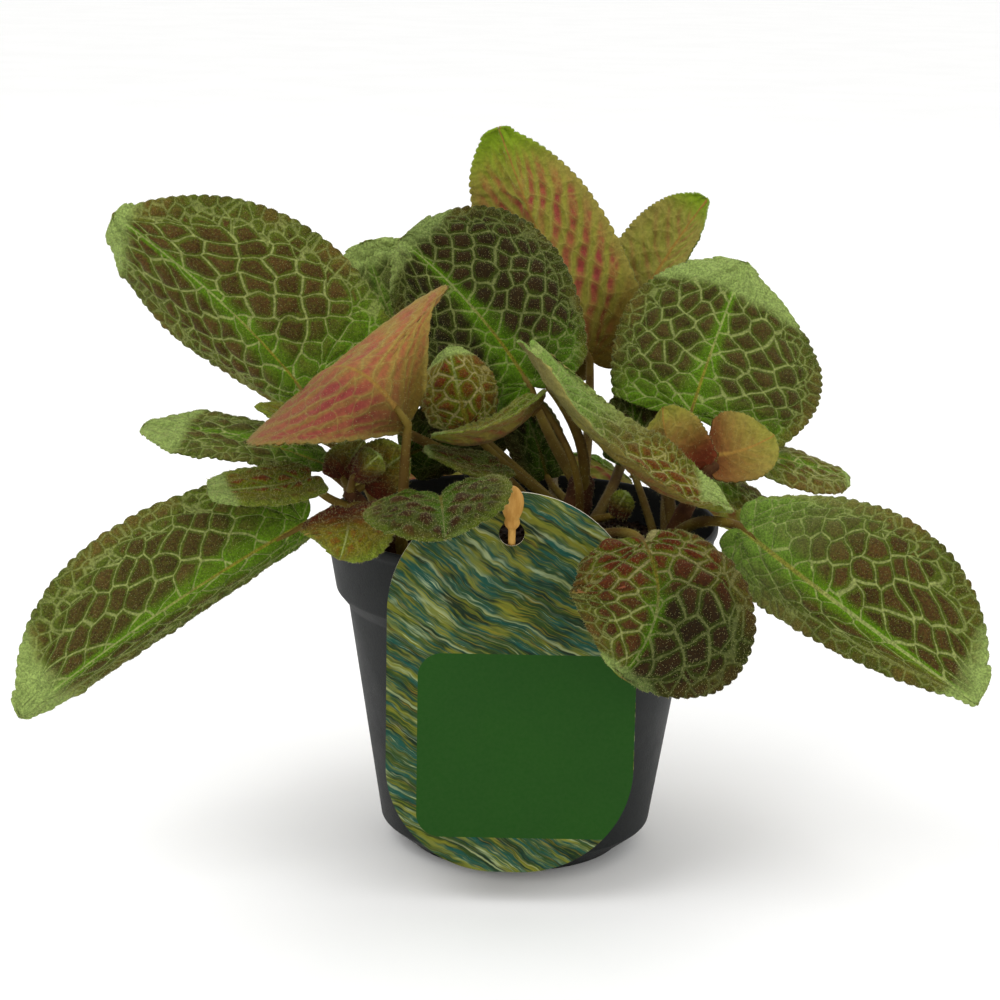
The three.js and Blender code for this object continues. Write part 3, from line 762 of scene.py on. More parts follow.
# Extrudes a ring along a path of points, with a radius at each, and closes both ends.
def sweepTube(bm, points, radii, sides, materialIndex, fuzzy):
    fuzzLayer, longLayer = leafLayers(bm)[4:6]
    before = set(bm.verts)
    heading = (points[1] - points[0]).normalized()
    turn = Vector((0, 0, 1)).rotation_difference(heading).to_matrix().to_4x4()
    start = Matrix.Translation(points[0] * mm) @ turn
    ring = bmesh.ops.create_circle(
        bm, cap_ends=False, radius=radii[0] * mm, segments=sides, matrix=start
    )["verts"]
    edges = list({edge for vert in ring for edge in vert.link_edges})
    bmesh.ops.contextual_create(bm, geom=edges)
    for index in range(1, len(points)):
        grown = bmesh.ops.extrude_edge_only(bm, edges=edges)["geom"]
        ring = [item for item in grown if isinstance(item, bmesh.types.BMVert)]
        fresh = set(ring)
        edges = [
            item for item in grown
            if isinstance(item, bmesh.types.BMEdge) and item.verts[0] in fresh and item.verts[1] in fresh
        ]
        newHeading = (points[min(index + 1, len(points) - 1)] - points[index - 1]).normalized()
        spin = heading.rotation_difference(newHeading).to_matrix().to_4x4()
        move = Matrix.Translation(points[index] * mm) @ spin
        move = move @ Matrix.Scale(radii[index] / radii[index - 1], 4)
        bmesh.ops.transform(bm, matrix=move @ Matrix.Translation(-points[index - 1] * mm), verts=ring)
        heading = newHeading
    bmesh.ops.contextual_create(bm, geom=edges)
    made = [vert for vert in bm.verts if vert not in before]
    faces = list({face for vert in made for face in vert.link_faces})
    for face in faces:
        face.material_index = materialIndex
        face.smooth = True
    bmesh.ops.recalc_face_normals(bm, faces=faces)
    for vert in made:
        vert[fuzzLayer], vert[longLayer] = fuzzy


def applied(obj):
    depsgraph = bpy.context.evaluated_depsgraph_get()
    mesh = bpy.data.meshes.new_from_object(obj.evaluated_get(depsgraph), depsgraph=depsgraph)
    obj.modifiers.clear()
    old = obj.data
    obj.data = mesh
    bpy.data.meshes.remove(old)


# A leaf may look otherwise in the stretch from its base to 0.45 of its length, and in its left half. Where
# one half's look is darker than the other's, the difference is painted shade on the half that lies in
# shade.
def lookAt(leaf, u, v):
    look = Vector(leaf["look"])
    toLeft = min(max(0.5 - v / 0.4, 0), 1)
    toBase = min(max((0.45 - u) / 0.3, 0), 1)
    look = look.lerp(Vector(leaf.get("leftLook", look)), toLeft)
    return look.lerp(Vector(leaf.get("baseLook", look)), toBase)


def bladeMesh(leaf):
    rows, columns = leaf["grid"]
    place, length = leafSurface(leaf)
    bm = bmesh.new()
    placeLayer, kindLayer, lookLayer, liftLayer, fuzzLayer, longLayer, netLayer = leafLayers(bm)
    bmesh.ops.create_grid(bm, x_segments=columns, y_segments=rows, size=1)
    number = leaf["veins"]
    for vert in bm.verts:
        u, v = (vert.co.y + 1) / 2, vert.co.x
        if abs(v) > 0.001:
            v = math.copysign(abs(v) ** blade["crowding"], v)
        point, station, half, _ = place(u, v)
        vert.co = point * mm
        vert[placeLayer] = (station, v, half)
        vert[kindLayer] = (number, length, leaf["seed"])
        vert[lookLayer] = lookAt(leaf, u, v)
        vert[netLayer] = leaf.get("net", 1)
        vert[liftLayer] = blade["lift"] * mm * leaf.get("lift", 1) * min(1, half / blade["fullLift"])
        near = max(0, abs(v) - 1 + blade["edge"]) / blade["edge"]
        vert[fuzzLayer] = leaf["fuzz"][0] * (1 + blade["edgeHairs"] * near)
        vert[longLayer] = leaf["fuzz"][1]
    bmesh.ops.remove_doubles(bm, verts=bm.verts, dist=blade["merge"])
    for face in bm.faces:
        face.smooth = True
    bm.normal_update()
    facing = sum((face.normal for face in bm.faces), Vector())
    if facing.dot(place(0.5, 0)[3]) < 0:
        bmesh.ops.reverse_faces(bm, faces=bm.faces)
    obj = meshObject("blade", bm, (upper, lower, stalkFinish))
    obj.modifiers.new("relief", "NODES").node_group = quilting
    solid = obj.modifiers.new("solid", "SOLIDIFY")
    solid.thickness = blade["thickness"] * mm
    solid.offset = -1
    solid.material_offset = 1
    applied(obj)
    mesh = obj.data
    bpy.data.objects.remove(obj)
    return mesh


def leafSeat(leaf):
    place, _ = leafSurface(leaf)
    arrival, _, _, normal = place(0, 0, False)
    seat, _, _, seatNormal = place(stalk["seat"], 0, False)
    return arrival - normal * stalk["below"][0], seat - seatNormal * stalk["below"][1]


def addLeaf(bm, leaf, small):
    bladeData = bladeMesh(leaf)
    bm.from_mesh(bladeData)
    bpy.data.meshes.remove(bladeData)
    stemName, height, via = leaf["stalk"]
    foot = bezier(stems[stemName]["axis"], height)
    arrival, seat = leafSeat(leaf)
    path = (foot, Vector(via), arrival)
    steps = stalk["steps"]
    points = [bezier(path, i / steps) for i in range(steps + 1)] + [seat]
    scale = stalk["small"] if small else 1
    foot, top = stalk["foot"], stalk["top"]
    radii = [scale * (foot + (top - foot) * (i / steps)) for i in range(steps + 1)]
    radii.append(radii[-1] * stalk["seatRadius"])
    sweepTube(bm, points, radii, stalk["sides"], 2, stalk["fuzz"])


# Ends a piece: its mesh and materials, hairs if asked, its place under the root body, and hides the CAD
# nodes it replaces.
def finishPiece(name, bm, materials, nodes, hairy=False):
    obj = meshObject(name, bm, materials)
    if hairy:
        obj.modifiers.new("fuzz", "NODES").node_group = fuzz
        applied(obj)
        obj.data.name = name
    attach(obj, "root")
    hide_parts(*nodes)
    return obj


# A leaf's rib has its base, middle and tip. Its sides are its widest points, left and right. Its stalk
# names a stem, how far up it the foot is, and a place that the stalk bends towards. A look's darkness over
# 1 and its warmth under 0 partly paint shade on leaves that lie in shade.
big = {
    "rows": 20, "lobe": 0.08, "swell": (0.25, 0.25), "blunt": (0.62, 0.62), "arc": (30, 30),
    "grid": (168, 40), "teeth": 27, "veins": 7, "look": (0.95, 0.3, 0.0), "fuzz": (2.6, 0.65), "seed": 1,
}
little = {
    **big, "rows": 10, "lobe": 0.05, "grid": (84, 22), "teeth": 13, "veins": 5, "fuzz": (2.8, 0.65),
    "look": (0.75, 0.3, 0.1),
}
leaves = {
    "leaf_upper_left": {
        **big, "rows": 22, "swell": (0.02, 0.38), "blunt": (0.5, 0.95), "seed": 3,
        "rib": [(-65, 6, 136), (-91, 16, 162), (-126, 22, 189)],
        "sides": [(-104, 32, 147), (-61, 12, 184)], "stalk": ("main", 0.62, (-22, 14, 124)),
        "look": (0.97, 0.4, 0.06),
    },
    "leaf_back_left": {
        **big, "rows": 16, "seed": 4, "rib": [(-31, 40, 134), (-43, 46, 157), (-51, 52, 178)],
        "sides": [(-63, 50, 154), (-23, 48, 175)], "stalk": ("main", 0.75, (-8, 26, 116)),
        "look": (0.6, 0.9, -0.5),
    },
    "leaf_centre_back": {
        **big, "swell": (0.25, 0.14), "seed": 5, "rib": [(2, 8, 141), (-17, 24, 163), (-39, 36, 181)],
        "sides": [(-28, 26, 141), (8, 36, 180)], "stalk": ("main", 0.96, (6, 6, 128)),
        "look": (1.36, 0.5, -0.45), "leftLook": (1.03, 0.5, -0.85), "veins": 9,
    },
    "leaf_pink_cupped": {
        **big, "rows": 18, "lobe": 0.03, "swell": (0.11, 0.02), "blunt": (1.09, 0.87), "arc": (20, 20),
        "seed": 6, "rib": [(-34, -38, 138), (-49.1, -41.7, 154.2), (-64.5, -9.1, 142.5)],
        "sides": [(-23.3, -16.5, 174.6), (-73.6, -60.3, 137.2)], "stalk": ("left", 0.5, (-35, -40, 116)),
        "look": (1.3, 0.0, 1.0), "leftLook": (1.06, 0.0, 1.0), "lift": 0.4, "ripple": 0.25,
    },
    "leaf_young_centre": {
        **little, "seed": 7, "rib": [(-17, -4, 131), (-20, -2, 143), (-23, 6, 153)],
        "sides": [(-31, 4, 136), (-9, 4, 143)], "stalk": ("main", 0.8, (-2, -4, 114)),
        "look": (1.0, 0.8, 1.0), "veins": 4,
    },
    "leaf_trough": {
        **big, "rows": 18, "lobe": 0.22, "swell": (0.14, 0.45), "blunt": (0.8, 0.9), "arc": (-20, -30),
        "seed": 8, "rib": [(8, -12, 145.4), (34, -21, 120), (62, -19, 110)],
        "sides": [(42, -4, 127), (21, -38, 136)], "stalk": ("main", 0.86, (23, -14, 126)),
        "look": (0.92, 0.8, 0.8), "baseLook": (0.1, 0.8, 0.0), "fuzz": (2.0, 1.1), "round": 0.8,
    },
    "leaf_folded_left": {
        **little, "seed": 9, "rib": [(5, -14, 140), (-10, -22, 130), (-27, -22, 131)],
        "sides": [(-11, -34, 136), (-12, -12, 134)], "stalk": ("main", 0.66, (22, -22, 118)),
        "look": (0.85, 0.5, 0.55), "net": 0.5,
    },
    "leaf_folded_low": {
        **little, "seed": 10, "rib": [(-7, -14, 121), (-18, -22, 123), (-29, -26, 128)],
        "sides": [(-20, -34, 123), (-18, -12, 125)], "stalk": ("main", 0.6, (3, -14, 110)),
        "look": (1.5, 0.4, 0.7), "net": 0.3,
    },
    "leaf_top": {
        **big, "swell": (0.4, 0.25), "blunt": (0.95, 0.62), "seed": 11,
        "rib": [(22, 58, 140), (5, 54, 179), (-9, 50, 215)], "sides": [(34, 60, 169), (-19, 62, 189)],
        "stalk": ("main", 0.72, (22, 32, 112)), "look": (1.0, 1.0, 0.1), "veins": 9,
    },
    "leaf_top_right": {
        **big, "rows": 16, "swell": (0.25, 0.4), "blunt": (0.8, 0.65), "seed": 12,
        "rib": [(39, 84, 156), (49, 86, 173), (60, 84, 190)], "sides": [(55, 80, 173), (31, 89.3, 174)],
        "stalk": ("main", 0.58, (40, 42, 106)), "look": (0.75, 1.0, 0.0), "veins": 7,
    },
    "leaf_right_upper": {
        **big, "lobe": 0.04, "swell": (0.25, 0.3), "blunt": (0.62, 1.1), "seed": 13,
        "rib": [(52, 22, 130), (60, 36, 151), (70, 50, 174)], "sides": [(28, 38, 148), (98.2, 42.5, 147)],
        "stalk": ("right", 0.6, (42, 20, 114)), "look": (0.95, 0.95, -0.2),
    },
    "leaf_right_lower": {
        **big, "rows": 22, "lobe": 0.06, "swell": (0.1, 0.48), "blunt": (0.68, 1.1), "seed": 14,
        "rib": [(64, -34, 108), (88, -60, 94), (127, -78, 70)],
        "sides": [(104.8, -45.6, 117.8), (77.9, -50.9, 82.4)], "stalk": ("right", 0.52, (52, -18, 110)),
        "look": (1.0, 0.45, 0.0), "baseLook": (0.6, 0.45, -0.1), "veins": 7,
    },
    # Its darker left look paints shade on the half that lies in shade.
    "leaf_over_card": {
        **big, "rows": 18, "swell": (0.1, 0.25), "blunt": (0.76, 0.62), "seed": 15,
        "rib": [(34, -66, 111), (37, -80, 96), (28, -80, 77)], "sides": [(64, -82, 95.5), (14, -78, 101)],
        "stalk": ("main", 0.58, (31, -40, 112)), "look": (1.2, 0.3, 0.2), "leftLook": (1.6, 0.3, -0.2),
        "baseLook": (1.45, 0.3, 0.9), "veins": 6,
    },
    "leaf_left_lower": {
        **big, "rows": 22, "lobe": 0.05, "swell": (0.25, 0.2), "blunt": (0.62, 0.85), "seed": 16,
        "rib": [(-63, -38, 108), (-102, -56, 86), (-141, -66, 57)],
        "sides": [(-102.2, -46.6, 76.5), (-123.5, -50, 103.3)], "stalk": ("left", 0.62, (-50, -34, 110)),
        "look": (0.95, 0.8, 0.0),
    },
    "leaf_left_rolled": {
        **little, "blunt": (0.4, 0.4), "seed": 17,
        "rib": [(-61, -38, 122), (-72, -47, 121), (-89, -54, 121)],
        "sides": [(-74, -57, 117), (-75, -39, 125)], "stalk": ("left", 0.88, (-58, -37, 114)),
        "look": (1.25, 0.8, 0.9), "fuzz": (2.5, 1.1), "net": 0.15,
    },
    "leaf_left_middle": {
        **little, "rows": 14, "swell": (0.08, 0.08), "seed": 18,
        "rib": [(-60, -20, 122), (-84, -12, 127), (-114, -4, 129)],
        "sides": [(-84, -28, 123), (-89, 6, 131)], "stalk": ("left", 0.8, (-50, -22, 116)),
        "grid": (120, 30), "teeth": 28, "look": (0.9, 1.0, 0.0),
    },
    "leaf_left_tip": {
        **little, "seed": 19, "rib": [(-63, -10, 128), (-70, -8, 133), (-80, -4, 136)],
        "sides": [(-69, -15, 131), (-72, -1, 137)], "stalk": ("left", 0.66, (-50, -3, 125)),
        "look": (0.8, 0.1, 0.9), "net": 0.2,
    },
    "leaf_left_hanging": {
        **little, "seed": 20, "rib": [(-50, -47, 115), (-49, -58, 112), (-51, -62, 104)],
        "sides": [(-36, -56, 114), (-62, -56, 110)], "stalk": ("left", 0.9, (-49, -41, 115)),
        "look": (0.62, 0.1, 1.0), "net": 0.15,
    },
    "leaf_over_pick": {
        **little, "rows": 14, "seed": 21, "rib": [(-23, -64, 123), (-22, -78, 122), (-21, -92, 118)],
        "sides": [(-4, -76, 129), (-43, -76, 121)], "stalk": ("main", 0.52, (-10, -40, 124)),
        "grid": (100, 28), "look": (1.48, 0.1, 0.1), "net": 0.12,
    },
    "leaf_right_thin": {
        **little, "rows": 14, "seed": 22, "rib": [(71, 16, 120), (87, 22, 115), (103, 26, 110)],
        "sides": [(88, 36, 116), (84, 8, 111)], "stalk": ("right", 0.85, (62, 10, 120)), "grid": (100, 28),
        "look": (0.9, 0.3, 0.3),
    },
    # The inner leaves fill the hollow behind the stems, and their darkness over 1 paints its deep shade.
    "leaf_inner_left": {
        **little, "seed": 26, "rib": [(-36, 44, 111), (-18, 46, 118), (3, 45, 127)],
        "sides": [(-24, 45, 130), (-11, 46, 109)], "stalk": ("left", 0.5, (-37, 16, 98)),
        "look": (1.6, 0.0, -0.4),
    },
    "leaf_inner_middle": {
        **little, "seed": 27, "rib": [(8, 26, 109), (4, 29, 121), (-2, 31, 134)],
        "sides": [(-5, 30, 119), (12, 29, 124)], "stalk": ("main", 0.83, (9, 14, 108)),
        "look": (1.65, 0.0, -0.4),
    },
    "leaf_inner_right": {
        **little, "seed": 28, "rib": [(34, 26, 113), (35, 29, 124), (33, 31, 137)],
        "sides": [(25, 28, 124), (45, 30, 126)], "stalk": ("right", 0.4, (38, 14, 106)),
        "look": (1.4, 0.2, -0.4),
    },
    "leaf_rear_left": {
        **big, "rows": 14, "seed": 23, "rib": [(-22, 62, 107), (-36, 86, 99), (-50, 100, 72)],
        "sides": [(-60, 76, 92), (-14, 94, 92)], "stalk": ("main", 0.54, (-10, 32, 104)),
    },
    "leaf_rear_middle": {
        **big, "rows": 14, "seed": 24, "rib": [(14, 66, 107), (16, 86, 94), (16, 92, 66)],
        "sides": [(-5, 84, 86), (38, 84, 86)], "stalk": ("main", 0.66, (6, 38, 106)), "veins": 7,
    },
    "leaf_rear_right": {
        **big, "rows": 14, "seed": 25, "rib": [(50, 44, 108), (68, 62, 102), (82, 80, 76)],
        "sides": [(50, 82, 92), (86, 44, 90)], "stalk": ("right", 0.5, (44, 26, 108)),
    },
}
for name, leaf in leaves.items():
    bm = bmesh.new()
    addLeaf(bm, leaf, leaf["grid"][0] < 130)
    finishPiece(name + "_blade", bm, (upper, lower, stalkFinish), [name], True)
print("leaves built:", len(leaves))

young = {
    **little, "grid": (60, 18), "teeth": 14, "veins": 5, "look": (0.5, 0.3, 1.0), "fuzz": (2.4, 0.9),
    "lift": 0.7, "net": 0.3,
}
shoots = {
    "left": [
        {
            **young, "seed": 31, "rib": [(-49, -37, 121), (-45, -42, 126), (-41, -43, 130)],
            "sides": [(-47, -36, 129), (-41, -38, 123)], "at": 1,
        },
        {
            **young, "seed": 32, "rib": [(-52, -30, 120), (-50, -26, 125), (-47, -20, 129)],
            "sides": [(-57, -22, 126), (-43, -22, 125)], "at": 1,
        },
        {
            **young, "seed": 36, "rib": [(-46, -31, 118), (-40, -29, 123), (-34, -27, 127)],
            "sides": [(-46, -27, 129), (-35, -31, 118)], "at": 1,
        },
    ],
    "main": [
        {
            **young, "seed": 33, "rib": [(28, -15, 106), (29, -19, 111), (31, -21, 115)],
            "sides": [(26, -16, 111), (33, -19, 110)], "at": 0.74,
        },
    ],
    "right": [
        {
            **young, "seed": 34, "rib": [(52, 4, 115), (45, 4, 124), (43, 12, 134)],
            "sides": [(57, -1, 126), (34, 14, 123)], "at": 0.9,
        },
        {
            **young, "seed": 35, "rib": [(58, 6, 121), (67, 8, 122), (77, 12, 126)],
            "sides": [(68, 1, 114), (63, 13, 133)], "at": 1, "look": (0.6, 0.2, 0.75),
        },
    ],
}
stemForm = {
    "steps": 40, "sides": 20, "fuzz": (0.7, 0.8),
    "knot": 0.1, "between": 7,  # height of the leaf scars as a share, and the steps between them
    "crown": 0.7, "crownWidth": 0.95,  # height and radius of the round end, as shares of the radius
}
for key, stem in stems.items():
    bm = bmesh.new()
    for leaf in shoots[key]:
        foot = bezier(stem["axis"], leaf["at"])
        arrival, _ = leafSeat(leaf)
        addLeaf(bm, {**leaf, "stalk": (key, leaf["at"], (foot + arrival) / 2)}, True)
    count = stemForm["steps"]
    first, last = stem["radii"]
    points = [bezier(stem["axis"], i / count) for i in range(count + 1)]
    radii = []
    for i in range(count + 1):
        knot = stemForm["knot"] * (max(0, math.cos(i * 2 * math.pi / stemForm["between"])) ** 6 - 0.5)
        radii.append((first + (last - first) * i / count) * (1 + knot))
    heading = bezierTangent(stem["axis"], 1)
    for share in (0.45, 0.75, 0.92, 1):
        points.append(points[count] + heading * (last * stemForm["crown"] * share))
        radii.append(max(last * stemForm["crownWidth"] * math.sqrt(1 - share**2), 0.1))
    sweepTube(bm, points, radii, stemForm["sides"], 3, stemForm["fuzz"])
    materials = (upper, lower, stalkFinish, stemFinish)
    nodeName = "stem_main" if key == "main" else "shoot_" + key
    finishPiece(nodeName + "_shoot", bm, materials, [nodeName], True)
print("stems and shoots built")

pot = {
    "outline": [  # radius and height, mm, up the outside and down the inside
        (32.5, 0), (34, 1.5), (41.6, 7.5), (52.3, 76), (56, 80.5), (59.1, 98.2), (59.9, 99.4),
        (60, 101.2), (59.5, 102), (58.6, 101.6), (57.9, 99), (55, 81), (51.3, 76.4), (40.7, 8),
        (33, 1.6),
    ],
    "floor": 1.6, "rounding": 0.5, "steps": 160, "drains": 8, "ring": 23, "drain": 3.5, "cut": 12,
    "smooth": 35,  # edges blunter than this are smooth, degrees
}


# Turns an outline of radii and heights, in mm, and closes it, with its corners rounded if asked.
def turnedShape(outline, steps, rounding=0):
    bm = bmesh.new()
    verts = [bm.verts.new((radius * mm, 0, height * mm)) for radius, height in outline]
    for pair in zip(verts, verts[1:]):
        bm.edges.new(pair)
    if rounding:
        bmesh.ops.bevel(
            bm, geom=verts[1:-1], offset=rounding * mm, affect="VERTICES", segments=3, profile=0.5,
            material=-1,
        )
    bmesh.ops.spin(
        bm, geom=bm.verts[:] + bm.edges[:], cent=(0, 0, 0), axis=(0, 0, 1), angle=2 * math.pi,
        steps=steps, use_merge=True, use_duplicate=False,
    )
    return closed(bm)


def drainCutter():
    bm = bmesh.new()
    for i in range(pot["drains"]):
        angle = 2 * math.pi * (i + 0.5) / pot["drains"]
        place = Vector((pot["ring"] * math.cos(angle), pot["ring"] * math.sin(angle), 0)) * mm
        bmesh.ops.create_cone(
            bm, cap_ends=True, segments=32, radius1=pot["drain"] * mm, radius2=pot["drain"] * mm,
            depth=pot["cut"] * mm, matrix=Matrix.Translation(place),
        )
    return meshObject("cutter", bm)


potTones = {
    "dark": paint(29, 31, 31),
    "scuffed": paint(41, 43, 43),
    "pitted": paint(25, 27, 27),
}


def potMaterial():
    material, t, shader = newMaterial("potPlastic", 0.6, 0.13)
    place = objectPlace(t)
    fine = cloud(t, place, 1500, 3, 0.7)
    scuff = cloud(t, place, 30, 5, 0.7)
    tone = blend(t, ramp(t, scuff, 0.45, 0.75), potTones["dark"], potTones["scuffed"])
    tone = blend(t, ramp(t, fine, 0.35, 0.7), tone, potTones["pitted"])
    dress(t, shader, {
        "Base Color": tone, "Normal": bumpy(t, fine, 0.5, 0.0002),
        "Roughness": ramp(t, scuff, 0.3, 0.7, 0.5, 0.66),
    })
    return material


cutter = drainCutter()
potBody = turnedShape([(0, 0)] + pot["outline"] + [(0, pot["floor"])], pot["steps"], pot["rounding"])
potPiece = finishPiece("pot_shell", potBody, (potMaterial(),), ["pot"])
drilled = potPiece.modifiers.new("drains", "BOOLEAN")
drilled.object = cutter
drilled.solver = "EXACT"
applied(potPiece)
for polygon in potPiece.data.polygons:
    polygon.use_smooth = True
potPiece.data.set_sharp_from_angle(angle=math.radians(pot["smooth"]))
bpy.data.objects.remove(cutter)
print("pot built")

soil = {
    "crumbs": 0.16, "size": (0.5, 1.7),  # how many lie on a square millimetre, and their radii, mm
    "above": 85, "level": 0.6,  # they lie from this height up, mm, where the soil is as level as this
    "flat": 0.7, "seed": 11,
}


# Crumbs of compost over the top of the soil.
def crumbTree():
    tree, start, end = geometryGroup("crumbs")
    facing = split(tree, addNode(tree, "GeometryNodeInputNormal").outputs[0])[2]
    high = split(tree, addNode(tree, "GeometryNodeInputPosition").outputs[0])[2]
    level = calc(tree, "GREATER_THAN", facing, soil["level"])
    top = times(tree, level, calc(tree, "GREATER_THAN", high, soil["above"] * mm))
    given = {
        "Mesh": start.outputs[0], "Selection": top, "Density": soil["crumbs"] / mm**2,
        "Seed": soil["seed"],
    }
    spread = addNode(tree, "GeometryNodeDistributePointsOnFaces", given)
    lump = addNode(tree, "GeometryNodeMeshIcoSphere", {"Radius": mm, "Subdivisions": 1})
    smallest, largest = ((size, size, size * soil["flat"]) for size in soil["size"])
    size = randomVector(tree, smallest, largest)
    turned = randomVector(tree, (0, 0, 0), (fullTurn, fullTurn, fullTurn))
    return scatter(tree, start, end, spread, lump, compost, turned, size)


bm = bmesh.new()
bm.from_mesh(bpy.data.objects["soil"].data)
bm.transform(bpy.data.objects["soil"].matrix_world)
soilPiece = finishPiece("soil_crumbs", closed(bm), (compost,), ["soil"])
soilPiece.modifiers.new("crumbs", "NODES").node_group = crumbTree()
applied(soilPiece)
print("soil built")

card = {
    "width": 71, "bottom": 11, "top": 124, "middle": -2.3, "thickness": 0.6, "corner": 32,
    "hole": (-3, 112, 3.6), "front": -60.9,
    "panel": (2.1, 49.1, 31.0, 27.6, 7.0),  # middle across and up, half sizes and corner, mm
}


# Points on an arc, from one angle and through a turn, in mm.
def arcPoints(x, z, radius, first, turn, steps):
    angles = [first + turn * i / steps for i in range(steps + 1)]
    return [(x + radius * math.cos(angle), z + radius * math.sin(angle)) for angle in angles]


def cardOutline():
    half, corner, middle, quarter = card["width"] / 2, card["corner"], card["middle"], math.pi / 2
    up = card["bottom"] + corner
    return (
        arcPoints(middle + half - corner, up, corner, -quarter, quarter, 24)
        + arcPoints(middle, card["top"] - half, half, 0, math.pi, 48)
        + arcPoints(middle - half + corner, up, corner, math.pi, quarter, 24)
    )


def cardPlate():
    curve = bpy.data.curves.new("card", "CURVE")
    curve.dimensions = "2D"
    curve.fill_mode = "BOTH"
    curve.extrude = card["thickness"] / 2 * mm
    for loop in (cardOutline(), arcPoints(*card["hole"], 0, -2 * math.pi, 48)[:-1]):
        spline = curve.splines.new("POLY")
        spline.points.add(len(loop) - 1)
        for point, (x, z) in zip(spline.points, loop):
            point.co = (x * mm, z * mm, 0, 1)
        spline.use_cyclic_u = True
    flat = newObject("flatCard", curve)
    depsgraph = bpy.context.evaluated_depsgraph_get()
    mesh = bpy.data.meshes.new_from_object(flat.evaluated_get(depsgraph), depsgraph=depsgraph)
    bpy.data.objects.remove(flat)
    bm = bmesh.new()
    bm.from_mesh(mesh)
    bpy.data.meshes.remove(mesh)
    stand = Matrix.Translation((0, (card["front"] + card["thickness"] / 2) * mm, 0))
    bm.transform(stand @ Matrix.Rotation(math.pi / 2, 4, "X"))
    closed(bm)
    for face in bm.faces:
        face.material_index = 0 if face.normal.y < -0.7 else 1
    return bm


cardTones = {
    "deep": paint(10, 32, 18),
    "teal": paint(16, 68, 58),
    "green": paint(40, 62, 16),
    "lime": paint(124, 124, 34),
    "gold": paint(140, 116, 20),
    "mist": paint(160, 172, 128),
    "panel": paint(24, 70, 10),
}
strokes = {
    "slant": (0.5, 0.85), "band": 7.5, "sway": 14.0, "ripple": 3.0,  # mm
    "fine": 9.0, "broad": 2.2, "along": 0.03,  # how finely they break up across and along
}


# How far inside the panel's rounded box a place on the card lies, in mm, negative outside it.
def insidePanel(tree, x, z):
    middleX, middleZ, halfX, halfZ, corner = card["panel"]
    dx = calc(tree, "ABSOLUTE", minus(tree, x, middleX))
    dz = calc(tree, "ABSOLUTE", minus(tree, z, middleZ))
    qx = larger(tree, minus(tree, dx, halfX - corner), 0.0)
    qz = larger(tree, minus(tree, dz, halfZ - corner), 0.0)
    away = calc(tree, "SQRT", plus(tree, times(tree, qx, qx), times(tree, qz, qz)))
    return minus(tree, corner, away)


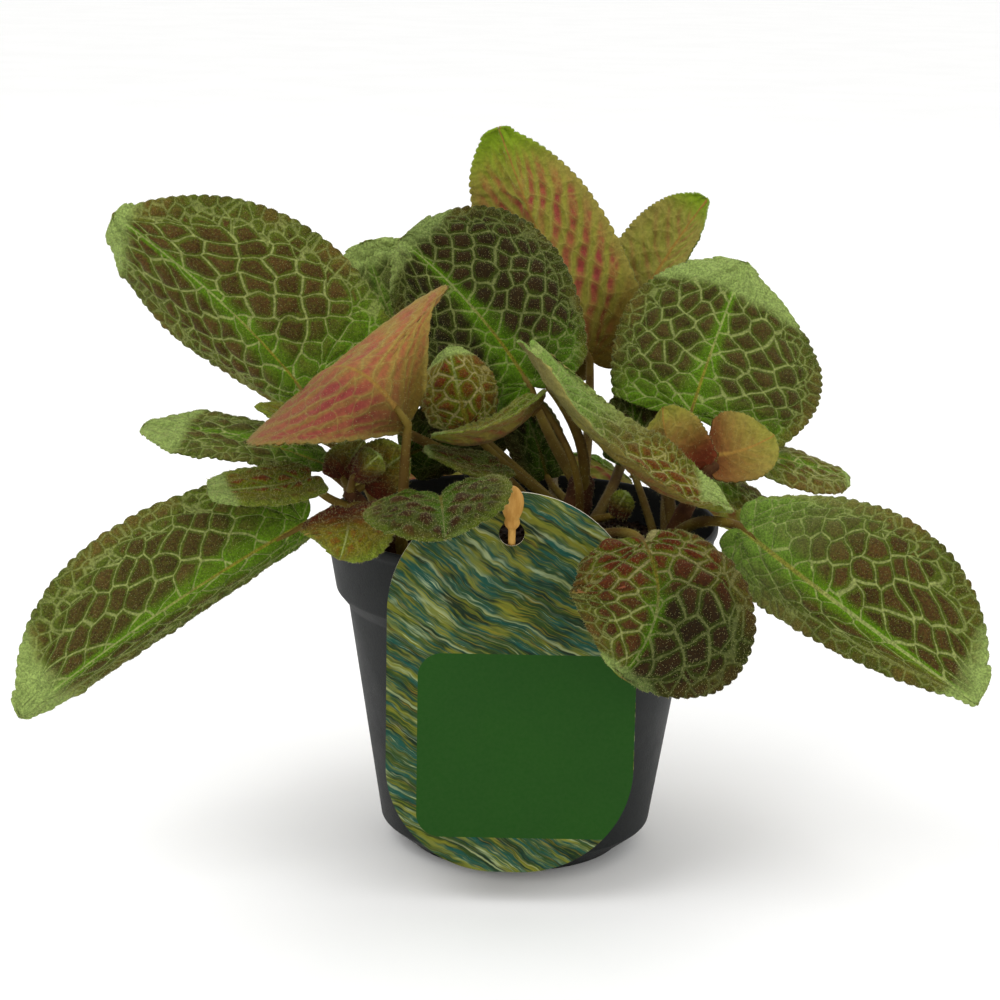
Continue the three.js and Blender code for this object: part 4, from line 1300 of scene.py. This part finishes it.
def printMaterial():
    material, t, shader = newMaterial("cardPrint", 0.5, 0.08)
    place = objectPlace(t)
    x, _, z = (times(t, part, 1 / mm) for part in split(t, place))
    slope = plus(t, times(t, x, strokes["slant"][0]), times(t, z, strokes["slant"][1]))
    slope = timesPlus(t, cloud(t, place, 22, 1), strokes["sway"], slope)
    ripple = times(t, cloud(t, place, 150, 2), strokes["ripple"])
    bands = calc(t, "DIVIDE", plus(t, slope, ripple), strokes["band"])
    inBand = calc(t, "FRACT", bands)
    lengthwise = times(t, minus(t, x, z), strokes["along"])

    def brushed(width, shift, stretch=1.0):
        across = times(t, bands, width)
        away = timesPlus(t, lengthwise, stretch, shift)
        return cloud(t, vector(t, across, away, shift), 1.0, 3, 0.65)

    broad = brushed(strokes["broad"], 3.0)
    middling = brushed(strokes["broad"] * 2, 11.0)
    fine = brushed(strokes["fine"], 0.0)
    finest = brushed(strokes["fine"] * 1.7, 7.0, 2.0)
    sunlit = brushed(strokes["broad"], 23.0)
    misty = brushed(strokes["broad"], 31.0)
    tones = cardTones
    tone = blend(t, ramp(t, broad, 0.42, 0.56), tones["deep"], tones["teal"])
    coats = (
        (ramp(t, middling, 0.46, 0.6), 0.85, "green"),
        (ramp(t, sunlit, 0.5, 0.62), 0.6, "lime"),
        (ramp(t, fine, 0.52, 0.66), 0.5, "lime"),
        (ramp(t, finest, 0.54, 0.7), 0.5, "gold"),
        (ramp(t, fine, 0.44, 0.3), 0.6, "deep"),
        (times(t, ramp(t, finest, 0.42, 0.3), ramp(t, broad, 0.45, 0.6)), 0.8, "mist"),
        (ramp(t, misty, 0.58, 0.7), 0.6, "mist"),
        (times(t, ramp(t, inBand, 0.16, 0.03), ramp(t, fine, 0.4, 0.6)), 0.5, "mist"),
    )
    for mask, share, name in coats:
        tone = blend(t, times(t, mask, share), tone, tones[name])

    panel = calc(t, "GREATER_THAN", insidePanel(t, x, z), 0.0)
    wash = blend(t, cloud(t, place, 34, 4, 0.6), tones["deep"], tones["panel"])
    tone = blend(t, panel, tone, blend(t, 0.3, tones["panel"], wash))
    fibre = cloud(t, place, 900, 3)
    tone = blend(t, times(t, fibre, 0.03), tone, tones["mist"])
    dress(t, shader, {
        "Base Color": tone, "Normal": bumpy(t, fibre, 0.25, 0.0001),
        "Roughness": ramp(t, fibre, 0.3, 0.7, 0.44, 0.56),
    })
    return material


paper = plainMaterial("cardPaper", (226, 220, 200), (206, 198, 176), 300, 0.8, 0.00008)
finishPiece("label_card_plate", cardPlate(), (printMaterial(), paper), ["label_card"])
print("card built")

pick = {
    "lean": 30, "reach": 18.6, "crossing": 111.3, "steps": 40,
    "profile": [
        (0, 0), (0.14, 0.7), (0.6, 1.35), (1.5, 2.0), (2.8, 2.65), (4.1, 3.03), (5.8, 3.18), (7.6, 3.06),
        (9, 2.75), (10.4, 2.3), (11.5, 1.92), (12.1, 1.88), (12.7, 2.08), (13.4, 2.2), (14, 2.06),
        (14.6, 1.72), (15.3, 1.3), (16.1, 1.06), (33, 1.03), (61, 1), (65, 0.55), (69, 0),
    ],
}


def pickBody():
    bm = turnedShape([(radius, -down) for down, radius in pick["profile"]], pick["steps"])
    for face in bm.faces:
        face.smooth = True
    lift = Matrix.Translation((0, 0, pick["reach"] * mm))
    middle = (card["front"] + card["thickness"] / 2) * mm
    stand = Matrix.Translation((card["hole"][0] * mm, middle, pick["crossing"] * mm))
    bm.transform(stand @ Matrix.Rotation(math.radians(pick["lean"]), 4, "X") @ lift)
    return bm


wood = plainMaterial(
    "pickWood", (194, 150, 78), (160, 114, 50), 500, 0.6, 0.0001, stretch=(1, 0.25, 0.25)
)
finishPiece("label_pick_turned", pickBody(), (wood,), ["label_pick"])
print("pick built")

floorFinish = plainMaterial("floor", (252, 252, 251), (249, 249, 248), 6, 0.8, 0.0)
bm = bmesh.new()
bmesh.ops.create_grid(bm, x_segments=1, y_segments=1, size=studio["floor"])
floor = meshObject("floor", bm, (floorFinish,))
print("floor laid")
